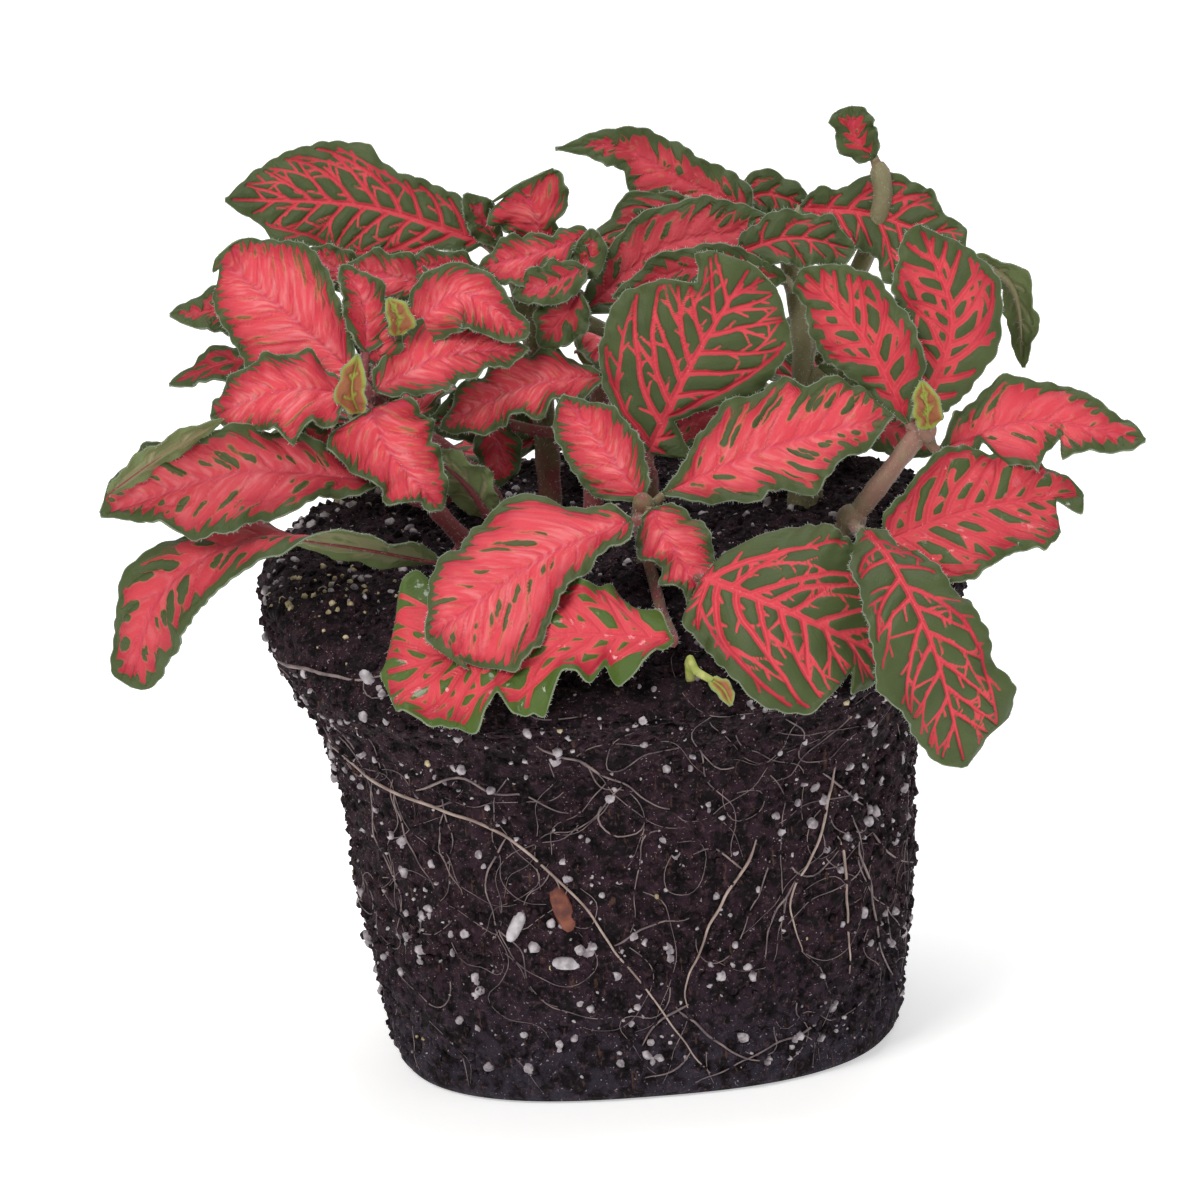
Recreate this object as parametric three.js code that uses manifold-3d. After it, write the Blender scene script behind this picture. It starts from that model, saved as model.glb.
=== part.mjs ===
// A nerve plant standing on its bare root ball.
// Millimetres, +Z up, -Y towards the front. The origin is the centre of the root ball's flat base.

import * as THREE from "three";
import { mergeVertices } from "three/addons/utils/BufferGeometryUtils.js";
import Module from "manifold-3d";

const wasm = await Module();
wasm.setup();

// ---------------------------------------------------------------- driving dimensions

const BALL = {
  baseRadius: 36.6,
  waistRadius: 41.2,
  waistHeight: 38,
  stepRadius: 43.3,
  stepHeight: 50.7,
  collarRadius: 49.4,
  collarHeight: 61,
  rimRadius: 50.2,
  height: 72.4,
  squareness: 2.6,
  shoulderDrop: 9.5,
  shoulderStart: 18,
  roughness: 0.55,
  sides: 28,
};
const BLADE_THICKNESS = 0.7;
const WIDE_BLADE = 12.4;
const CELL_LENGTH = 6.4;
const LEAST_HALF_WIDTH = 0.55;
const STEM_SIDES = 5;
const STALK_SIDES = 4;
const CLEARANCE = 0.55;

// The front view looks down at the plant by this angle. Places read in that view are given as
// [across, up, back]: millimetres to the right and up in the view, and the real depth behind the middle.
const VIEW_TILT = THREE.MathUtils.degToRad(16);

// ---------------------------------------------------------------- finishes

const finish = (name, color, roughness) =>
  new THREE.MeshStandardMaterial({ name, color, roughness, metalness: 0 });
const PEAT = finish("peat", 0x2c2226, 0.95);
const ROOT = finish("root", 0xb49a78, 0.7);
const PINK_LEAF = finish("pink_leaf", 0xd85a68, 0.5);
const GREEN_LEAF = finish("green_leaf", 0x6f8a48, 0.5);
const SPROUT = finish("sprout", 0xa9b65a, 0.5);

// ---------------------------------------------------------------- places and directions

/** The point of the part that the front view shows at [across, up], at the depth back. */
function seenAt([across, up, back]) {
  const height = (up - back * Math.sin(VIEW_TILT)) / Math.cos(VIEW_TILT);
  return new THREE.Vector3(across, back, height);
}

/** A direction from its rise above level and its turn from the front towards the right, in degrees. */
function direction([rise, turn]) {
  const a = THREE.MathUtils.degToRad(rise);
  const b = THREE.MathUtils.degToRad(turn);
  return new THREE.Vector3(Math.sin(b) * Math.cos(a), -Math.cos(b) * Math.cos(a), Math.sin(a));
}

/** How much deeper a point lies than the last one on a blade whose upper face looks along facing. */
function depthStep(from, to, facing) {
  const n = direction(facing);
  const rise = (to[1] - from[1]) / Math.cos(VIEW_TILT);
  return (n.x * (to[0] - from[0]) + n.z * rise) / (n.z * Math.tan(VIEW_TILT) - n.y);
}

/** The midrib's points in space; a point given without a depth lies in the plane of the blade. */
function midribPoints(path, facings) {
  const points = [];
  let last = path[0];
  path.forEach((point, i) => {
    const facing = facings[Math.min(i, facings.length - 1)];
    const back = point.length > 2 ? point[2] : last[2] + depthStep(last, point, facing);
    last = [point[0], point[1], back];
    points.push(seenAt(last));
  });
  return points;
}

// ---------------------------------------------------------------- solids

/** A closed, indexed three.js geometry as a solid that can be joined and cut. */
function toSolid(geometry) {
  const bare = new THREE.BufferGeometry();
  bare.setAttribute("position", geometry.getAttribute("position"));
  if (geometry.index) bare.setIndex(geometry.index);
  const merged = mergeVertices(bare, 1e-4);
  return new wasm.Manifold(new wasm.Mesh({
    numProp: 3,
    vertProperties: new Float32Array(merged.getAttribute("position").array),
    triVerts: new Uint32Array(merged.index.array),
  }));
}

/** The largest connected body of a solid, without sealed hollows or loose scraps. */
function mainBody(solid) {
  const bodies = solid.decompose().filter((body) => body.volume() > 0);
  return bodies.reduce((best, body) => (body.volume() > best.volume() ? body : best));
}

/** A solid as a mesh of the model. */
function toMesh(name, solid, material) {
  const { vertProperties, triVerts } = solid.getMesh();
  const geometry = new THREE.BufferGeometry();
  geometry.setAttribute("position", new THREE.BufferAttribute(new Float32Array(vertProperties), 3));
  geometry.setIndex(new THREE.BufferAttribute(new Uint32Array(triVerts), 1));
  geometry.computeVertexNormals();
  const mesh = new THREE.Mesh(geometry, material);
  mesh.name = name;
  return mesh;
}

/** A round rod along a smooth path. */
function rod(points, radius, steps, sides = STEM_SIDES) {
  const section = new THREE.Shape();
  for (let i = 0; i < sides; i += 1) {
    const angle = (2 * Math.PI * i) / sides;
    const corner = [radius * Math.cos(angle), radius * Math.sin(angle)];
    if (i === 0) section.moveTo(...corner);
    else section.lineTo(...corner);
  }
  const path = new THREE.CatmullRomCurve3(points);
  return toSolid(new THREE.ExtrudeGeometry(section, { steps, extrudePath: path, bevelEnabled: false }));
}

/** A small rounded knob, for a stem's joint or a bud. */
function knob(centre, radius, stretch = 1) {
  const ball = new THREE.SphereGeometry(radius, 8, 6);
  ball.scale(1, 1, stretch);
  ball.translate(centre.x, centre.y, centre.z);
  return toSolid(ball);
}

// ---------------------------------------------------------------- leaves

/** A leaf's half width along its midrib, as a share of the widest: rounded base, pointed tip. */
function outline(t, widest, point) {
  const toBase = t / widest;
  const toTip = (1 - t) / (1 - widest);
  return Math.pow(toBase, point * widest) * Math.pow(toTip, point * (1 - widest));
}

/**
 * One leaf's blade as a thin closed solid.
 * path: midrib points in the front view, the first with its depth; width: across the widest place;
 * faces: where the upper face looks at each path point; look: the shape's finer values.
 */
function blade(path, width, faces, look = {}) {
  const { widest = 0.45, point = 1.3, fold = 14, droop = 0.12, ruffle = 0.6, waves = 3, phase = 0,
    scallop = 0.07 } = look;
  const midrib = new THREE.CatmullRomCurve3(midribPoints(path, faces), false, "catmullrom", 0.5);
  const along = Math.max(4, Math.min(8, Math.round(midrib.getLength() / CELL_LENGTH)));
  const across = width > WIDE_BLADE ? 4 : 2;
  const foldRise = Math.tan(THREE.MathUtils.degToRad(fold));

  const surface = (t, s) => {
    const centre = midrib.getPointAt(t);
    const tangent = midrib.getTangentAt(t);
    const place = t * (faces.length - 1);
    const lower = Math.min(Math.floor(place), faces.length - 1);
    const upper = Math.min(lower + 1, faces.length - 1);
    const hint = direction(faces[lower]).lerp(direction(faces[upper]), place - lower);
    const side = new THREE.Vector3().crossVectors(tangent, hint).normalize();
    const normal = new THREE.Vector3().crossVectors(side, tangent).normalize();
    const wave = Math.sin(2 * Math.PI * waves * t + phase + (s > 0 ? 1.3 : 0));
    const edge = (width / 2) * outline(t, widest, point) * (1 + scallop * wave);
    const half = Math.max(edge, LEAST_HALF_WIDTH);
    const out = Math.abs(s);
    const bend = half * (foldRise * out - droop * out * out);
    const lift = bend + ruffle * wave * out * out * Math.min(1, half / 3);
    return centre.addScaledVector(side, s * half).addScaledVector(normal, lift);
  };

  const reach = 0.02;
  const positions = [];
  const layers = [BLADE_THICKNESS / 2, -BLADE_THICKNESS / 2];
  for (const offset of layers) {
    for (let i = 0; i <= along; i += 1) {
      for (let j = 0; j <= across; j += 1) {
        const t = i / along;
        const s = (2 * j) / across - 1;
        const here = surface(t, s);
        const ahead = surface(Math.min(1, t + reach), s).sub(surface(Math.max(0, t - reach), s));
        const aside = surface(t, s + reach).sub(surface(t, s - reach));
        const normal = new THREE.Vector3().crossVectors(aside, ahead).normalize();
        here.addScaledVector(normal, offset);
        positions.push(here.x, here.y, here.z);
      }
    }
  }
  const row = across + 1;
  const layer = row * (along + 1);
  const faceIndex = [];
  const quad = (a, b, c, d) => faceIndex.push(a, b, c, a, c, d);
  for (let i = 0; i < along; i += 1) {
    for (let j = 0; j < across; j += 1) {
      const a = i * row + j;
      const [b, c, d] = [a + 1, a + row + 1, a + row];
      quad(a, b, c, d);
      faceIndex.push(layer + a, layer + c, layer + b, layer + a, layer + d, layer + c);
    }
    const left = i * row;
    const right = left + across;
    quad(left, left + row, layer + left + row, layer + left);
    quad(right + row, right, layer + right, layer + right + row);
  }
  for (let j = 0; j < across; j += 1) {
    const end = along * row + j;
    quad(j + 1, j, layer + j, layer + j + 1);
    quad(end, end + 1, layer + end + 1, layer + end);
  }
  const geometry = new THREE.BufferGeometry();
  geometry.setAttribute("position", new THREE.Float32BufferAttribute(positions, 3));
  geometry.setIndex(faceIndex);
  return toSolid(geometry);
}

/** A leaf's stalk from its stem to just inside the blade. */
function stalk(from, path, faces, radius = 0.85) {
  const [base, next] = midribPoints(path, faces);
  const inside = base.clone().addScaledVector(next.clone().sub(base).normalize(), 1.6);
  const start = seenAt(from);
  const steps = Math.max(2, Math.round(start.distanceTo(base) / 5));
  return rod([start, base, inside], radius, steps, STALK_SIDES);
}

// Every leaf: its stalk's foot on the stem, its midrib, its width, where it faces, and its shape.
const leaf = (from, path, width, faces, look) => ({ from, path, width, faces, look });

const SHOOTS = [
  {
    name: "shoot_left_front",
    material: PINK_LEAF,
    stems: [
      { radius: 1.9,
        path: [[-33.2, 92, -11], [-27, 86.5, -9], [-20.5, 81.5, -6.5], [-15.8, 75, -4], [-14, 66, -3]] },
      { radius: 1.7, path: [[-24.5, 75.5, -15], [-21, 71, -12], [-17.5, 67, -7], [-15, 63.5, -4]] },
    ],
    knobs: [
      { at: [-33.2, 93, -13], radius: 2.1, stretch: 1.6 },
      { at: [-28, 100.6, -5.4], radius: 1.7, stretch: 1.2 },
    ],
    leaves: [
      leaf([-33, 92, -11], [[-33.8, 94.5, -10.5], [-43.5, 104.5], [-52, 112.5]], 18.4, [[32, -15]],
        { widest: 0.52, point: 0.9, fold: 8, ruffle: 0.8 }),
      leaf([-33, 91.5, -11], [[-35, 91.8, -13], [-44, 92.8, -15], [-54.3, 90, -14]], 12.8, [[46, -10]],
        { point: 1.1, ruffle: 0.9, waves: 4 }),
      leaf([-33, 91, -11], [[-31.8, 89.5, -14], [-29.5, 83], [-23, 74.6]], 15.4, [[32, 12]],
        { widest: 0.36, point: 1.2, ruffle: 1, waves: 4 }),
      leaf([-33, 92, -11], [[-31.2, 92, -12], [-21, 96], [-9.2, 96.2]], 10.8, [[48, 12]],
        { widest: 0.42, ruffle: 0.7 }),
      leaf([-31, 90, -10], [[-27.5, 98.5, -5], [-18, 104.6, -2.5], [-9.2, 98, -5]], 11, [[42, 8]],
        { widest: 0.5, point: 1.1 }),
      leaf([-33, 93, -11], [[-32, 97.5, -8], [-32.2, 104.5], [-34.8, 110]], 5, [[30, 40]], { fold: 25 }),
      leaf([-32, 93, -10], [[-30.6, 95.6, -8], [-30.6, 98.5], [-29.6, 101.6]], 6, [[30, 0]], {}),
      leaf([-24.5, 75.5, -15], [[-31, 79.2, -17], [-50, 81.8, -22], [-70.6, 77.6, -21]], 16.5, [[40, -4]],
        { widest: 0.62, point: 1.4, ruffle: 1.1, waves: 4, scallop: 0.12 }),
      leaf([-20.5, 70.6, -11.5], [[-24, 67.4, -17.5], [-38, 71, -23], [-50, 72.6, -25], [-62.5, 66.4, -25],
        [-68.6, 53.6, -23]], 12, [[35, 165], [50, 175], [65, -40], [25, -30], [10, -25]],
        { widest: 0.62, point: 0.9, fold: 6, ruffle: 0.6, waves: 4 }),
      leaf([-30, 88, -9], [[-36.5, 87.5, -8], [-40, 85.8, -8], [-46.5, 84, -8]], 6.4, [[45, 0]], {}),
      leaf([-33, 92, -9], [[-40, 101, 0], [-50, 104.6, 2], [-59.2, 105, 3]], 8, [[45, -20]], {}),
      leaf([-32, 90, -9], [[-40, 95.5, -3], [-50, 97.6, -1], [-60, 95.2, 0]], 7, [[60, -20]], {}),
      leaf([-15.2, 70, -4], [[-16.5, 73, -7], [-19.5, 78, -9], [-25, 83.5, -10]], 7, [[25, 175]], {}),
    ],
  },
  {
    name: "shoot_back_left",
    material: PINK_LEAF,
    stems: [
      { radius: 1.8, path: [[-10.5, 109, 12], [-9, 101, 11], [-8, 90, 9], [-8, 74, 8]] },
    ],
    knobs: [{ at: [-10.5, 109.5, 12], radius: 1.8, stretch: 1.2 }],
    leaves: [
      leaf([-10.5, 108.5, 12], [[-14.5, 112, 16], [-31, 118.5], [-50.5, 121]], 17, [[24, -6]],
        { widest: 0.6, point: 1.15, fold: 5, ruffle: 0.5 }),
      leaf([-10, 107, 12], [[-5.8, 110.5, 13], [-7, 115.5], [-9, 119.8]], 12.5, [[10, 5]],
        { widest: 0.8, point: 0.9, fold: 20 }),
      leaf([-9, 103, 11], [[0.6, 111.6, 9], [-7.5, 109.4, 7], [-15.6, 108.2, 5]], 7.6, [[40, 0]],
        { ruffle: 0.8 }),
      leaf([-9, 101, 11], [[-14.6, 106.4, 6.5], [-20.5, 108.6, 5], [-26.5, 109.2, 4]], 5.6, [[35, -5]], {}),
      leaf([-10.5, 108.5, 12], [[-12.6, 111.5, 14], [-14.6, 115.5], [-16.6, 119]], 5.4, [[20, 20]], {}),
      leaf([-9, 101, 11], [[-1, 106, 5], [-5, 104.6, 3], [-10, 103.8, 2]], 5, [[40, 0]], {}),
      leaf([-8.7, 99, 10.5], [[-2.6, 106.5, 7], [0.2, 108.6, 7.5], [0.8, 112.6, 8.5]], 5, [[25, 10]], {}),
      leaf([-8.5, 95, 10], [[-2.6, 102.6, 3], [-5, 99.8, 1.5], [-7.4, 97.6, 1]], 5.6, [[35, 0]], {}),
      leaf([-9, 101, 11], [[-24, 105.6, 3], [-28.5, 107, 3.5], [-33, 108.2, 4.5]], 5, [[35, -10]], {}),
      leaf([-9, 103, 11], [[-32.5, 107.5, 6], [-36, 110], [-39.6, 112.6]], 5, [[35, -10]], {}),
      leaf([-8, 84, 9], [[-9.5, 84.5, 9.8], [-17, 87.5, 10.5], [-25.5, 86.5, 10]], 9, [[28, 0]], {}),
      leaf([-8, 82, 9], [[-4.5, 83.5, 10.5], [3, 85.5, 12], [10, 84, 11.5]], 9, [[28, 0]], {}),
    ],
  },
  {
    name: "shoot_middle",
    material: PINK_LEAF,
    stems: [{ radius: 1.5, path: [[0.5, 90, 1], [-1, 84, 2], [-2, 72, 2]] }],
    knobs: [],
    leaves: [
      leaf([0.5, 90, 1], [[0.8, 91.6, -1], [-11, 90.8, -3], [-22.6, 86, -5]], 10.6, [[50, 0]],
        { ruffle: 1, waves: 4 }),
      leaf([-1, 84, 2], [[-13.6, 85.4, 3], [-13.6, 81.5, 2], [-14.4, 77.2, 1.6]], 5, [[15, 10]], {}),
    ],
  },
  {
    name: "shoot_front",
    material: GREEN_LEAF,
    stems: [
      { radius: 1.8, path: [[4.7, 72.6, -25], [5, 69.5, -21], [5.2, 66, -16.5]] },
      { radius: 1.5, path: [[6, 79, -13], [6, 73, -14], [5.4, 67.5, -15.2]] },
    ],
    knobs: [{ at: [4.9, 73, -25.5], radius: 1.7, stretch: 1.3 }],
    leaves: [
      leaf([4.7, 72, -25], [[3.2, 71, -32], [-10, 66.4], [-26.4, 56.5]], 19.4, [[52, -6]],
        { widest: 0.56, point: 0.95, fold: 10, ruffle: 0.9 }),
      leaf([4.7, 72, -25], [[5.8, 72.4, -27.5], [9, 66], [13.2, 57.6]], 10, [[35, 8]],
        { widest: 0.42, point: 1.1, ruffle: 0.7 }),
      leaf([4.7, 72, -25], [[4.9, 74, -25], [0.6, 80.5], [-5, 89.4]], 10.4, [[28, -12]],
        { widest: 0.5, point: 1.1, ruffle: 0.7 }),
      leaf([4.7, 72, -25], [[7.8, 74.4, -24], [23.5, 79.6], [40.8, 82.8]], 14, [[45, 5]],
        { widest: 0.5, point: 1.2, ruffle: 0.9 }),
      leaf([6, 78, -13], [[6.4, 80.5, -12], [13, 92], [22.8, 105.6]], 25, [[14, -2]],
        { widest: 0.5, point: 0.85, fold: 4, ruffle: 0.6 }),
      leaf([5, 66.4, -18], [[7.6, 54, -44], [-11, 56, -44.6], [-33.2, 52.4, -42.4]], 21, [[55, -8]],
        { widest: 0.58, point: 0.85, fold: 2, ruffle: 1.8, waves: 3.5, scallop: 0.15 }),
      leaf([5.2, 66.4, -18], [[12.4, 62.4, -35], [25.6, 55.6, -42.5], [41.4, 46.4, -40]], 23, [[42, 8]],
        { widest: 0.46, point: 1, fold: 6, ruffle: 0.7 }),
    ],
  },
  {
    name: "shoot_right",
    material: PINK_LEAF,
    stems: [
      { radius: 1.6,
        path: [[44.5, 80.5, -14], [40, 75.5, -15], [33.8, 68.7, -16], [29, 63.5, -14], [27, 60.5, -12]] },
    ],
    knobs: [
      { at: [45.4, 81, -15], radius: 1.7, stretch: 1.6 },
      { at: [33.8, 68.9, -16], radius: 2.4, stretch: 1 },
    ],
    leaves: [
      leaf([44, 80, -14], [[42.8, 81.6, -14], [38, 93.5], [29.6, 104.4]], 14, [[22, -14]],
        { widest: 0.55, point: 1.05, fold: 12 }),
      leaf([44.5, 80.5, -14], [[44.8, 83, -11], [50, 95.5], [46.6, 109.4]], 16, [[20, 10]],
        { widest: 0.5, point: 1.05 }),
      leaf([44.5, 80, -14], [[47, 77.6, -15], [60.5, 80.4], [75.8, 76.6]], 13, [[48, 12]],
        { widest: 0.5, point: 1.2, ruffle: 0.9 }),
      leaf([33.8, 68.7, -16], [[37.8, 65.2, -25], [51, 68.8, -22], [66.4, 69.8, -16]], 17, [[48, 15]],
        { widest: 0.52, point: 1.1, ruffle: 0.8 }),
      leaf([33.8, 68.7, -16], [[35.2, 67.4, -28], [38.8, 61.5, -40], [43.2, 50, -49], [46.4, 33.4, -50]],
        16.4, [[60, 10], [50, 14], [25, 18], [8, 20]],
        { widest: 0.66, point: 1.1, fold: 10, ruffle: 0.7, waves: 4 }),
    ],
  },
  {
    name: "shoot_back_right",
    material: GREEN_LEAF,
    stems: [
      { radius: 1.6, path: [[28.2, 110, 16], [28.6, 103, 14], [29.2, 95, 10], [28.4, 86, 8], [27, 74, 7]] },
      { radius: 1.5, path: [[42, 119, 22], [42, 113, 20], [38, 104, 18], [32, 96, 13], [29, 90, 9]] },
      { radius: 1.3, path: [[54, 104.5, 11], [48, 99, 12], [40, 93, 11], [29, 87, 8]] },
      { radius: 1.2, path: [[-2.4, 100.4, 9], [4, 97, 12], [14, 92, 13], [28, 84, 8]] },
    ],
    knobs: [],
    leaves: [
      leaf([28, 109, 16], [[23.5, 113.6, 19], [13.5, 119, 21], [5, 124, 22], [-3.4, 124.4, 21]], 10,
        [[30, -5]], { widest: 0.36, point: 1.7, fold: 10 }),
      leaf([28, 107, 16], [[14.4, 116, 18], [7, 112], [2, 104.4, 12]], 9, [[32, -8]], { widest: 0.5 }),
      leaf([-2, 100.4, 9], [[-1.6, 100.8, 8], [11.5, 109.4], [27.4, 110.4]], 10.6, [[34, -2]],
        { widest: 0.6, point: 1.1 }),
      leaf([28.6, 103, 14], [[21, 107.6, 8.5], [29, 109], [37.6, 106.6]], 8.6, [[40, 5]],
        { widest: 0.5, point: 1.1 }),
      leaf([28, 109, 16], [[20.5, 114, 24], [26, 116.2], [31.4, 113.4, 24]], 5, [[35, 0]], {}),
      leaf([28, 109, 16], [[30.4, 113.4, 20], [41, 111.4], [53.2, 105.4, 14]], 12.5, [[35, 5]],
        { widest: 0.55, point: 1.1, ruffle: 0.8 }),
      leaf([42, 118, 22], [[41.4, 119.6, 22], [39, 123, 22.5], [38.6, 127.2, 24]], 6.5, [[10, 0]],
        { widest: 0.6, point: 0.9, fold: 20 }),
      leaf([54, 104, 11], [[54, 104.6, 10], [59.5, 99.5, 9], [60, 88.4, 8]], 5.4, [[20, 150]], {}),
      leaf([29.2, 88, 8.6], [[40, 86.8, 4], [35.5, 89.6, 3.5], [31.2, 90.8, 3.5]], 4.6, [[20, 170]], {}),
      leaf([28.4, 86, 8], [[24.5, 86.5, 6], [16, 85.5, 4.5], [7, 82, 4]], 8.5, [[25, 0]], {}),
      leaf([28, 84, 8], [[33, 84.5, 6], [40, 82, 5], [47, 77.5, 4]], 8.5, [[25, 5]], {}),
      leaf([28.6, 102, 13.6], [[27.5, 103.4, 7], [20, 105.4, 5.5], [12, 104.2, 5]], 6.5, [[30, 0]], {}),
    ],
  },
];

// ---------------------------------------------------------------- rear shoots, by rule

// The rear of the plant repeats what the front shows: pairs of leaves, each turned a quarter from the last,
// the lower ones longer and drooping. Places here are [x, y, z] of the part.
const REAR_SHOOTS = [
  { name: "shoot_rear_left", material: PINK_LEAF, crown: [-32, 32, 84], foot: [-23, 24], turn: 212,
    lengths: [26, 20, 13], widths: [16, 12, 8.5] },
  { name: "shoot_rear_right", material: GREEN_LEAF, crown: [35, 33, 84], foot: [25, 25], turn: 148,
    lengths: [27, 20, 13], widths: [17, 12, 8.5] },
  { name: "shoot_rear_middle", material: PINK_LEAF, crown: [1, 45, 83], foot: [1, 33], turn: 180,
    lengths: [27, 17, 12], widths: [17, 11, 8] },
];

/** A place of the part as the front view gives it. */
function inView([x, y, z]) {
  return [x, z * Math.cos(VIEW_TILT) + y * Math.sin(VIEW_TILT), y];
}

// A rear leaf that points back over the plant stays this share of its partner's length.
const INNER_SHARE = 0.68;

/** The leaves of one rear shoot, from its crown downwards. */
function rearLeaves({ crown, foot, turn, lengths, widths }) {
  const leaves = [];
  const pairDrop = 3.6;
  lengths.forEach((length, pair) => {
    const level = crown[2] - pairDrop * (lengths.length - 1 - pair);
    const down = (crown[2] - level) / (crown[2] - BALL.height);
    const x = crown[0] + down * (foot[0] - crown[0]);
    const y = crown[1] + down * (foot[1] - crown[1]);
    const steepness = 0.1 + 0.22 * pair;
    for (const [side, share] of [[0, 1], [180, INNER_SHARE]]) {
      const heading = turn + 90 * pair + side;
      const out = direction([0, heading]);
      const reach = length * share;
      const at = (along, rise) => {
        const step = along * reach;
        return inView([x + out.x * step, y + out.y * step, level + rise * reach]);
      };
      const path = [at(0.09, 0.03), at(0.55, 0.1 + steepness), at(1, steepness - 0.18)];
      leaves.push(leaf(inView([x, y, level]), path, widths[pair] * Math.sqrt(share),
        [[80, heading], [62, heading], [40, heading]],
        { widest: 0.5, point: 1.1, ruffle: 0.8, phase: heading }));
    }
  });
  return leaves;
}

for (const shoot of REAR_SHOOTS) {
  const [x, y, z] = shoot.crown;
  const [footX, footY] = shoot.foot;
  SHOOTS.push({
    name: shoot.name,
    material: shoot.material,
    stems: [{ radius: 1.7, path: [[x, y, z], [(x + footX) / 2, (y + footY) / 2, (z + BALL.height) / 2],
      [footX, footY, BALL.height]].map(inView) }],
    knobs: [{ at: inView([x, y, z + 1]), radius: 1.8, stretch: 1.4 }],
    leaves: rearLeaves(shoot),
  });
}

// ---------------------------------------------------------------- root ball

/** [radius, height] points of the root ball's wall, rim and top, from the middle of the base outwards. */
function ballProfile() {
  const { baseRadius, waistRadius, waistHeight, stepRadius, stepHeight, collarRadius, collarHeight,
    rimRadius, height } = BALL;
  return [
    [0, 0], [18, 0], [baseRadius - 2, 0], [baseRadius, 2], [baseRadius + 1.9, 12],
    [baseRadius + 3.6, 24], [waistRadius - 0.6, waistHeight - 6],
    [waistRadius + 0.7, waistHeight + 4], [stepRadius, stepHeight - 1], [stepRadius + 1.6, stepHeight + 2.3],
    [stepRadius + 4.2, stepHeight + 6.6], [collarRadius, collarHeight], [rimRadius, height - 6.4],
    [rimRadius - 0.8, height - 2.6], [rimRadius - 3.6, height - 0.6], [rimRadius - 9, height],
    [28, height], [14, height], [0, height],
  ];
}

/** The root ball's radius at a height, from its profile. */
function ballRadius(height) {
  const wall = ballProfile().filter(([, z], i, all) => i > 2 && (i === 3 || z > all[i - 1][1]));
  for (let i = 1; i < wall.length; i += 1) {
    if (height <= wall[i][1]) {
      const [r0, z0] = wall[i - 1];
      const [r1, z1] = wall[i];
      return r0 + ((r1 - r0) * (height - z0)) / (z1 - z0);
    }
  }
  return wall[wall.length - 1][0];
}

/** The crumbly relief of the peat, from -1 to 1. */
function crumble(x, y, z) {
  const lumps = Math.sin(0.31 * x + 1.3) * Math.sin(0.37 * y + 0.4) * Math.cos(0.29 * z + 2.1);
  const clods = Math.sin(0.83 * x + 0.57 * z + 0.9) * Math.sin(0.71 * y - 0.63 * z);
  const grit = Math.sin(1.9 * x + 2.3 * y) * Math.sin(2.1 * z + 1.1 * x);
  return 0.5 * lumps + 0.3 * clods + 0.2 * grit;
}

/** How far the worn front shoulder lies below the level rim. */
function shoulderFall(y, z) {
  const forward = THREE.MathUtils.smoothstep(-y, BALL.shoulderStart, BALL.rimRadius - 2);
  const high = THREE.MathUtils.smoothstep(z, BALL.stepHeight + 4, BALL.height);
  return BALL.shoulderDrop * forward * high;
}

/** The root ball before anything is cut into it: a lathed block, squared a little, with rough sides. */
function rawBall() {
  const points = ballProfile().map(([r, z]) => new THREE.Vector2(r, z));
  const geometry = new THREE.LatheGeometry(points, BALL.sides);
  geometry.rotateX(Math.PI / 2);
  const position = geometry.getAttribute("position");
  const n = BALL.squareness;
  for (let i = 0; i < position.count; i += 1) {
    const v = new THREE.Vector3().fromBufferAttribute(position, i);
    const radius = Math.hypot(v.x, v.y);
    if (radius < 1e-6 || v.z < 0.5) {
      if (radius > 1e-6) scaleAcross(v, squareness(v, n));
    } else {
      const rough = BALL.roughness * crumble(v.x, v.y, v.z);
      const onTop = v.z > BALL.height - 0.5;
      scaleAcross(v, squareness(v, n) * (onTop ? 1 : 1 + rough / radius));
      if (onTop) v.z += rough;
      v.z -= shoulderFall(v.y, v.z);
    }
    position.setXYZ(i, v.x, v.y, v.z);
  }
  return toSolid(geometry);
}

/** How far the squared plan stands out from a circle, in the direction of a point. */
function squareness(v, n) {
  const radius = Math.hypot(v.x, v.y);
  const sum = Math.pow(Math.abs(v.x) / radius, n) + Math.pow(Math.abs(v.y) / radius, n);
  return Math.pow(sum, -1 / n);
}

/** Scales a point away from the upright axis. */
function scaleAcross(v, factor) {
  v.x *= factor;
  v.y *= factor;
}

/** The point on the front of the root ball that the front view shows at [across, up]. */
function onBallFront([across, up], proud) {
  const n = BALL.squareness;
  let back = -BALL.waistRadius;
  let height = 0;
  for (let pass = 0; pass < 8; pass += 1) {
    height = Math.max(2, (up - back * Math.sin(VIEW_TILT)) / Math.cos(VIEW_TILT));
    const radius = ballRadius(height) + proud;
    const across_n = Math.pow(Math.min(Math.abs(across), radius - 0.5), n);
    back = -Math.pow(Math.pow(radius, n) - across_n, 1 / n);
  }
  return new THREE.Vector3(across, back, height);
}

// The pale roots that run over the front: [across, up] in the front view, from their upper ends.
const ROOT_RADIUS = 0.5;
const ROOT_PROUD = 0.35;
const ROOT_SIDES = 4;
const SURFACE_ROOTS = [
  [[-41, 43], [-35.6, 38], [-26.2, 33], [-17.5, 28.7], [-8.6, 19.5], [-3.4, 10.8], [1.2, 3.9],
    [5.7, -3.6], [8.3, -6.6]],
  [[17, 25.6], [14.7, 21.5], [11.2, 16.8], [8, 10.8], [5.6, 6], [5.4, 2.6]],
  [[28.7, 35.2], [26.9, 28.8], [24.8, 22.8], [21.9, 19.1], [20.9, 15.6], [22.1, 9.2]],
  [[28.2, 25.1], [29, 22], [28.8, 13.4], [28.6, 5.6]],
];

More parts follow.
